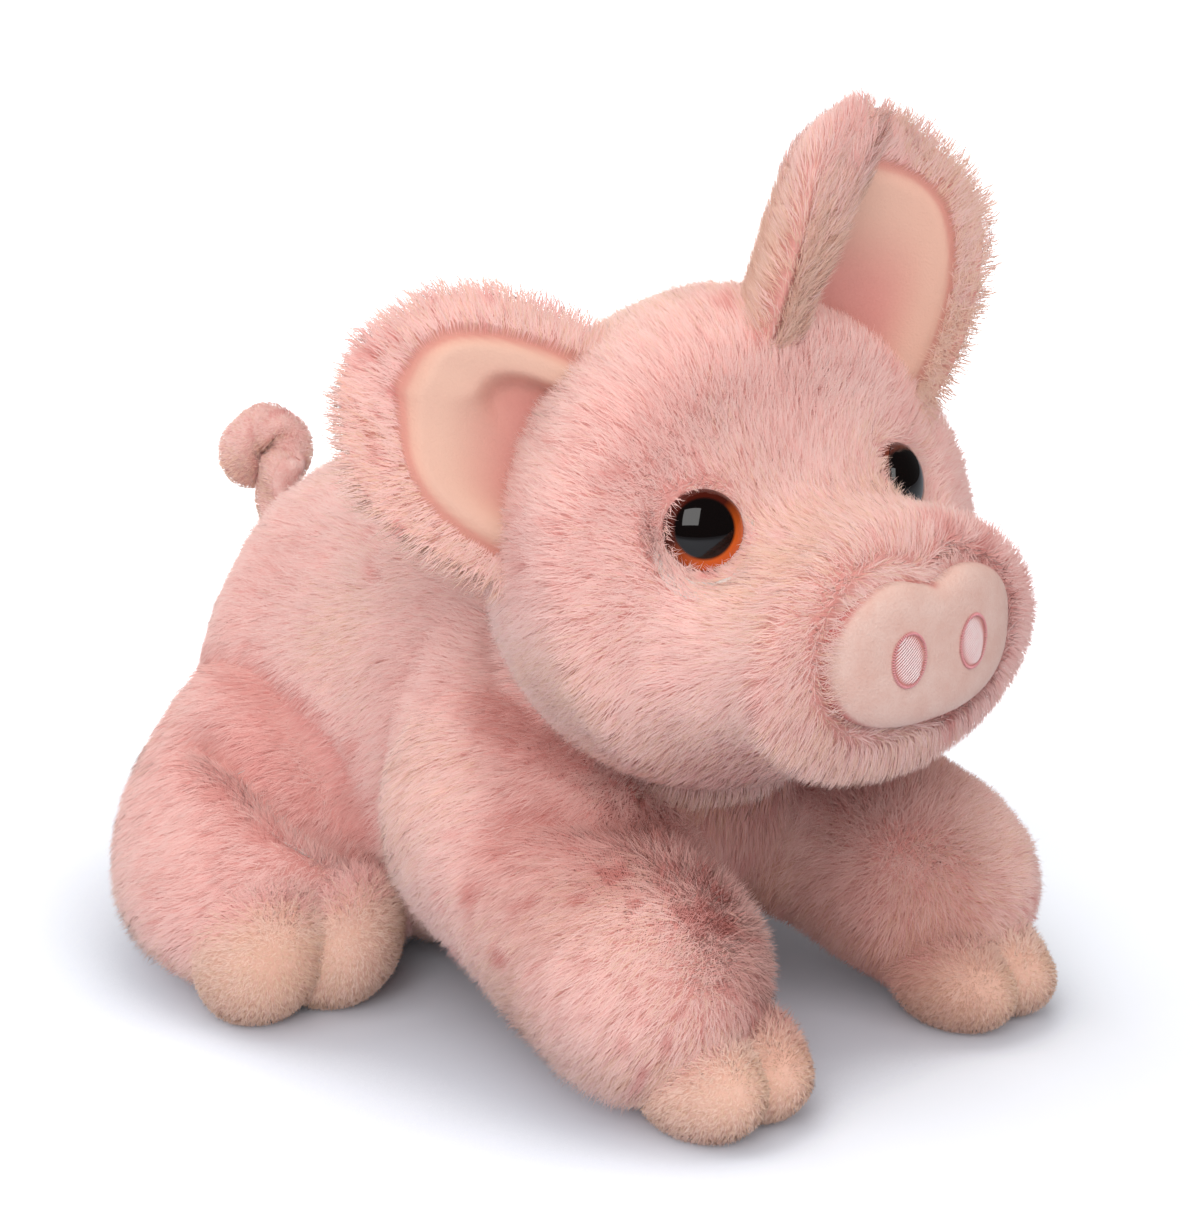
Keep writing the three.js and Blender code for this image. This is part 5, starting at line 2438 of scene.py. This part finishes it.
@dataclass
class Leg:
    """One leg: its stuffed cover, its pile and its two velour toes.

    Attributes:
        name: stem of its nodes' names.
        side: which side.
        joint: the joint that it lifts on.
        toe: width, length and height of a toe.
        toe_turn: how far the toes turn out, in degrees.
        toe_end: sideways and forward place of the leg's end.
        ahead: way from the joint to where the leg wholly lifts.
        toe_lean: how far a toe's top leans inwards.
        pile: how its pile grows.
    """

    name: str
    side: Side
    joint: str
    toe: Place
    toe_turn: float
    toe_end: tuple[float, float]
    ahead: Place
    toe_lean: float
    pile: Pile = Pile()

    def trim(self, points: Points, normals: Points) -> Points:
        """Pile is shorter at the toes.

        Args:
            points: places, one a row.
            normals: outward normals there; not used.

        Returns:
            Shares of the full length.
        """
        end = np.array([self.side.value * self.toe_end[0], self.toe_end[1] + MIDDLE_Y, 18 * MM])
        far = np.linalg.norm(points - end, axis=1)
        return 0.7 + 0.3 * ease(20 * MM, 45 * MM, far)

    def build(self) -> None:
        """Makes the cover, its pile and the toes."""
        surface = FORMS.shapes[self.name].surface(70, 110).inset(PILE_RISE)
        surface = FORMS.filled(self.name, surface)
        cover = surface.build(f"{self.name}_cloth")
        dress(cover, SKIN.material())
        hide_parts(f"{self.name}_cover")
        toes = self.toe_centres()
        showing = FORMS.showing(self.name)

        def keep(points: Points, normals: Points) -> Points:
            """1 for each root that shows and isn't under a toe.

            Args:
                points: places, one a row.
                normals: outward normals there.

            Returns:
                The chance that each root is kept.
            """
            kept = showing(points, normals)
            for centre in toes.values():
                off = self.toe_local(points - centre)
                kept = np.where((off**2).sum(-1) < 0.7, 0.0, kept)
            return kept

        seed = 31 + 2 * len(self.name) + self.side.value
        roots, normals = surface.scatter(self.pile.per_area, seed, keep)
        comb = FORMS.flow(self.name)
        coat = Coat(f"{self.name}_pile", self.pile, comb, cloth_tone, cloth_tint, self.trim)
        pieces = coat.grow(roots, normals, seed)
        for place, centre in toes.items():
            lean = self.side.value * self.toe_lean
            pieces += Toe(self.name, place, centre, self.toe, self.turn_matrix(), lean).build()
        pivot = joint_place(self.joint)
        Hold("trunk", self.name, tuple(pivot), tuple(pivot + self.ahead)).take([cover, *pieces])

    def turn_matrix(self) -> Points:
        """The toes' turn about the vertical."""
        a = math.radians(self.side.value * self.toe_turn)
        return np.array([[math.cos(a), -math.sin(a), 0], [math.sin(a), math.cos(a), 0], [0, 0, 1]])

    def toe_centres(self) -> dict[str, Points]:
        """Middles of the two toes.

        Returns:
            The middles by the names outer and inner.
        """
        width, length, height = self.toe
        facing = self.turn_matrix() @ [0, -1, 0]
        across = self.turn_matrix() @ [self.side.value, 0, 0]
        end = np.array([self.side.value * self.toe_end[0], self.toe_end[1] + MIDDLE_Y, 0])
        middle = end + facing * (0.22 - 0.5) * length
        middle[2] = height / 2 - 0.5 * MM
        return {"outer": middle + across * width * 0.33, "inner": middle - across * width * 0.33}

    def toe_local(self, off: Points) -> Points:
        """Offsets from a toe's middle, in its own half sizes."""
        return (off @ self.turn_matrix()) / (np.array(self.toe) / 2)


@dataclass
class Tail:
    """The tail: one plush cord that rises from the rump and curls.

    Attributes:
        radius: radius of the cord.
        curl: radius of the curl.
        pitch: how far one turn goes.
        rise: height of the curl's middle above the root.
        turns: turns of the curl.
        sunk: how far the root reaches into the rump.
        steps: points on the curl.
        catch: way that the pile's normals are turned to.
    """

    radius: float = 5.6 * MM
    curl: float = 7.5 * MM
    pitch: float = 14 * MM
    rise: float = 24 * MM
    turns: float = 1.45
    sunk: float = 12 * MM
    steps: int = 16
    catch: Place = (0.0, 0.0, 0.9)

    def tone(self, points: Points, normals: Points) -> Points:
        """Lightness of the tail's pile: lighter than the body's."""
        return cloth_tone(points, normals) + 0.3

    def tint(self, points: Points, normals: Points) -> Points:
        """Tint of the tail's pile: paler than the body's."""
        return cloth_tint(points, normals) + 0.9

    @property
    def rump(self) -> Points:
        """Where the tail leaves the body."""
        return joint_place("tail_bend")

    def route(self, count: int) -> Points:
        """The cord's middle line: a stem, then a circle carried along its axis.

        Args:
            count: how many points.

        Returns:
            Evenly spaced points, one a row.
        """
        share = np.arange(self.steps + 1) / self.steps
        turn = share * self.turns * 2 * np.pi
        across, up = self.curl * np.sin(turn), self.rise - self.curl * np.cos(turn)
        curl = np.stack([across, share * self.turns * self.pitch, up], 1)
        stem = np.array([[0, -self.sunk, -self.sunk / 2], [0, 0, 0]])
        knots = self.rump + np.vstack([stem, curl])
        dense = along_rows(knots, np.linspace(0, 1, 600))
        far = np.concatenate([[0], np.cumsum(np.linalg.norm(np.diff(dense, axis=0), axis=1))])
        even = np.linspace(0, far[-1], count)
        return np.stack([np.interp(even, far, dense[:, k]) for k in range(3)], 1)

    def build(self) -> None:
        """Makes the cord: rings carried along the line, with a slow twist of soft ridges."""
        line = self.route(140)
        way = unit(np.gradient(line, axis=0))
        over = np.zeros_like(way)
        over[0] = unit(np.cross(way[0], [1.0, 0.0, 0.0]))
        for k in range(1, len(line)):
            over[k] = unit(over[k - 1] - way[k] * (over[k - 1] @ way[k]))
        side = np.cross(way, over)
        turn = np.linspace(0, 2 * np.pi, 48, endpoint=False)[None]
        share = np.linspace(0, 1, len(line))[:, None]
        ridge = 1 + 0.09 * np.cos(3 * turn + 46 * share)
        end = np.sqrt(np.clip(1 - ((share - 0.96) / 0.04).clip(0) ** 2, 0.0004, 1))
        size = (self.radius + 0.7 * MM) * ridge * end
        high, out = (size * np.cos(turn))[..., None], (size * np.sin(turn))[..., None]
        rings = line[:, None] + over[:, None] * high + side[:, None] * out
        surface = Surface(line[0], rings, line[-1])
        cord = surface.build("tail_chenille")
        dress(cord, TAIL.material())
        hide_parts("tail_cord")

        def comb(points: Points, normals: Points) -> Points:
            """Short pile that lies back, a little unevenly."""
            return 0.5 * soft_noise(points, 8 * MM, 5, 3) + [-0.3, 0.8, 0]

        def keep(points: Points, normals: Points) -> Points:
            """1 for each root that is out of the rump."""
            return (points[:, 1] > self.rump[1] - 4 * MM) * 1.0

        roots, normals = surface.scatter(TAIL_PILE.per_area, 9, keep)
        coat = Coat("tail_pile", TAIL_PILE, comb, self.tone, self.tint, full_length, catch=self.catch)
        pieces = coat.grow(roots, normals, 41)
        start = self.rump - [0, 4 * MM, 2 * MM]
        end_place = self.rump + [0, 5 * MM, 8 * MM]
        Hold("trunk", "tail", tuple(start), tuple(end_place)).take([cord, *pieces])


@dataclass
class Inner:
    """What the covers hold, dressed where it is: loose filling, eye plates and washers.

    Attributes:
        fillings: finish of the fillings.
        plates: finish of the eye plates.
        washers: finish of the eyes' washers.
    """

    fillings: Finish = FILLING
    plates: Finish = AMBER
    washers: Finish = WASHER

    def build(self) -> None:
        """Gives each inner node of the frame its finish."""
        finishes = {"filling": self.fillings, "eye_plate": self.plates, "eye_washer": self.washers}
        for name, (part, finish) in product(frame["nodes"], finishes.items()):
            if part in name:
                dress(frame["nodes"][name], finish.material())


@dataclass(frozen=True)
class Lamp:
    """One square soft lamp aimed at the toy.

    Attributes:
        name: the lamp's name.
        azimuth: its angle from straight ahead, in degrees.
        elevation: its height angle, in degrees.
        distance: its distance from the toy.
        size: side of its square.
        watts: its power.
    """

    name: str
    azimuth: float
    elevation: float
    distance: float
    size: float
    watts: float


@dataclass
class Studio:
    """A pale floor, soft lamps and the camera.

    Attributes:
        azimuth: camera's angle from straight ahead, in degrees.
        elevation: camera's height angle, in degrees.
        distance: camera's distance from what it looks at.
        lens: focal length in millimetres on a sensor 36 mm wide.
        lamps: the lamps; only the key shows in the eyes.
        lamp_colour: colour of every lamp.
        floor_glow: light that the floor adds of its own, as a lit table does, where nothing is close.
        contact: how near a thing must be to take that light away.
        target: what the camera looks at.
    """

    azimuth: float = -44.0
    elevation: float = 16.0
    distance: float = 1.0
    lens: float = 98.68
    lamps: tuple[Lamp, ...] = (
        Lamp("key", azimuth=-52.0, elevation=38.0, distance=1.5, size=0.9, watts=8.5),
        Lamp("top", azimuth=-90.0, elevation=68.0, distance=1.6, size=1.5, watts=7.0),
        Lamp("fill", azimuth=-4.0, elevation=34.0, distance=1.8, size=1.2, watts=6.4),
        Lamp("back", azimuth=190.0, elevation=30.0, distance=1.7, size=1.3, watts=10.0),
    )
    lamp_colour: Colour = (1.0, 0.988, 0.975)
    floor_glow: float = 0.42
    contact: float = 90 * MM
    target: Place = (0.0, MIDDLE_Y, 116 * MM)

    def aim(self, thing: bpy.types.Object, place: Points, at: Points) -> None:
        """Puts a lamp or camera at a place, looking at a point."""
        thing.location = place
        thing.rotation_euler = Vector(tuple(at - place)).to_track_quat("-Z", "Y").to_euler()

    def towards(self, azimuth: float, elevation: float) -> Points:
        """The way from the toy to a camera or lamp at these angles."""
        a, e = math.radians(azimuth), math.radians(elevation)
        return np.array([math.sin(a) * math.cos(e), -math.cos(a) * math.cos(e), math.sin(e)])

    def camera(self) -> None:
        """Makes the camera."""
        data = bpy.data.cameras.new("camera")
        data.sensor_fit, data.sensor_width, data.lens = "HORIZONTAL", 36.0, self.lens
        data.clip_start, data.clip_end = 0.05, 20.0
        thing = bpy.data.objects.new("camera", data)
        bpy.context.scene.collection.objects.link(thing)
        target = np.array(self.target)
        self.aim(thing, target + self.towards(self.azimuth, self.elevation) * self.distance, target)
        bpy.context.scene.camera = thing

    def hang(self, lamp: Lamp) -> None:
        """Makes one lamp.

        Args:
            lamp: its place, size and power.
        """
        data = bpy.data.lights.new(lamp.name, "AREA")
        data.shape, data.size = "SQUARE", lamp.size
        data.energy, data.color = lamp.watts, self.lamp_colour
        thing = bpy.data.objects.new(lamp.name, data)
        thing.visible_glossy = lamp.name == "key"
        bpy.context.scene.collection.objects.link(thing)
        target = np.array(self.target)
        self.aim(thing, target + self.towards(lamp.azimuth, lamp.elevation) * lamp.distance, target)

    def floor(self) -> None:
        """Makes the pale floor, which shows as white where no shadow falls."""
        size = 6.0
        corners = np.array([[-size, -size, 0], [size, -size, 0], [size, size, 0], [-size, size, 0]], float)
        floor = mesh_object("floor", corners, np.array([[0, 1, 2, 3]]), smooth=False)
        material, nodes, shader = new_material("floor_paper")
        shader.inputs["Base Color"].default_value = (0.68, 0.72, 0.8, 1.0)
        shader.inputs["Roughness"].default_value = 0.9
        shader.inputs["Specular IOR Level"].default_value = 0.1
        rays = nodes.add("ShaderNodeLightPath")
        place = nodes.add("ShaderNodeTexCoord").outputs["Object"]
        away = nodes.vector("LENGTH", place).outputs["Value"]
        free = nodes.add("ShaderNodeAmbientOcclusion", {"Distance": self.contact}, samples=16).outputs["AO"]
        lit = nodes.math("MULTIPLY", nodes.ramp_value(free, 0.55, 1.0), self.floor_glow)
        fade = nodes.math("ADD", nodes.ramp_value(away, 0.2, 0.34), lit)
        strength = nodes.math("MULTIPLY", rays.outputs["Is Camera Ray"], fade)
        glow = nodes.add("ShaderNodeEmission", {"Color": (1.0, 1.0, 1.0, 1.0), "Strength": strength})
        both = nodes.add("ShaderNodeAddShader", {"0": shader.outputs[0], "1": glow.outputs[0]})
        nodes.feed(material.node_tree.nodes["Material Output"].inputs["Surface"], both.outputs[0])
        dress(floor, material)

    def world(self) -> None:
        """A pale even sky, white to the camera."""
        world = bpy.data.worlds.new("studio_sky")
        world.use_nodes = True
        bpy.context.scene.world = world
        nodes = Nodes(world.node_tree)
        sky = world.node_tree.nodes["Background"]
        sky.inputs["Color"].default_value = (1.0, 0.985, 0.97, 1.0)
        rays = nodes.add("ShaderNodeLightPath")
        shown = nodes.math("MULTIPLY_ADD", rays.outputs["Is Camera Ray"], 0.7, 0.4)
        dim = nodes.math("MULTIPLY_ADD", rays.outputs["Is Glossy Ray"], -0.85, 1.0)
        nodes.feed(sky.inputs["Strength"], nodes.math("MULTIPLY", shown, dim))

    def build(self) -> None:
        """Sets up the whole studio."""
        scene = bpy.context.scene
        scene.view_settings.view_transform = "Standard"
        self.camera()
        self.floor()
        self.world()
        for lamp in self.lamps:
            self.hang(lamp)


EARS = (
    Ear(
        Side.RIGHT,
        top=(-0.18, 0.32, 0.97),
        foot=(-0.9, 0.38, 0.32),
        tip=(-1.2, 0.08, 0.9),
        wide=0.96,
        roll=0.5,
        fold=4.5 * MM,
        crest=6 * MM,
        slant=0.16,
        cover=0.0,
    ),
    Ear(
        Side.LEFT,
        top=(0, 0.4, 0.98),
        foot=(0.86, 0.44, 0.7),
        tip=(0.64, 0.5, 1.35),
        wide=1.135,
        roll=1.05,
        fold=7.5 * MM,
        crest=2.5 * MM,
        slant=0.0,
        cover=0.6,
    ),
)


def front_leg(side: Side) -> Leg:
    """A front leg, stretched out ahead."""
    return Leg(
        f"front_leg_{side.label}",
        side,
        f"shoulder_lift_{side.label}",
        toe=(28 * MM, 42 * MM, 27 * MM),
        toe_turn=0.0,
        toe_end=(54 * MM, -117 * MM),
        ahead=(side.value * 8 * MM, -36 * MM, -20 * MM),
        toe_lean=1.5 * MM,
    )


def hind_leg(side: Side) -> Leg:
    """A hind leg, folded forwards under the haunch."""
    return Leg(
        f"hind_leg_{side.label}",
        side,
        f"hip_lift_{side.label}",
        toe=(38 * MM, 40 * MM, 38 * MM),
        toe_turn=15.0,
        toe_end=(89.5 * MM, 31 * MM),
        ahead=(side.value * 10 * MM, -40 * MM, -10 * MM),
        toe_lean=4 * MM,
    )


def main() -> None:
    """Builds every sub-assembly in order."""
    logging.basicConfig(level=logging.INFO, format="%(name)s %(message)s")
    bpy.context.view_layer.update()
    Studio().build()
    Trunk().build()
    Head().build()
    for ear in EARS:
        ear.build()
    for side in Side:
        front_leg(side).build()
        hind_leg(side).build()
    Tail().build()
    Inner().build()


if __name__ == "__main__":
    main()
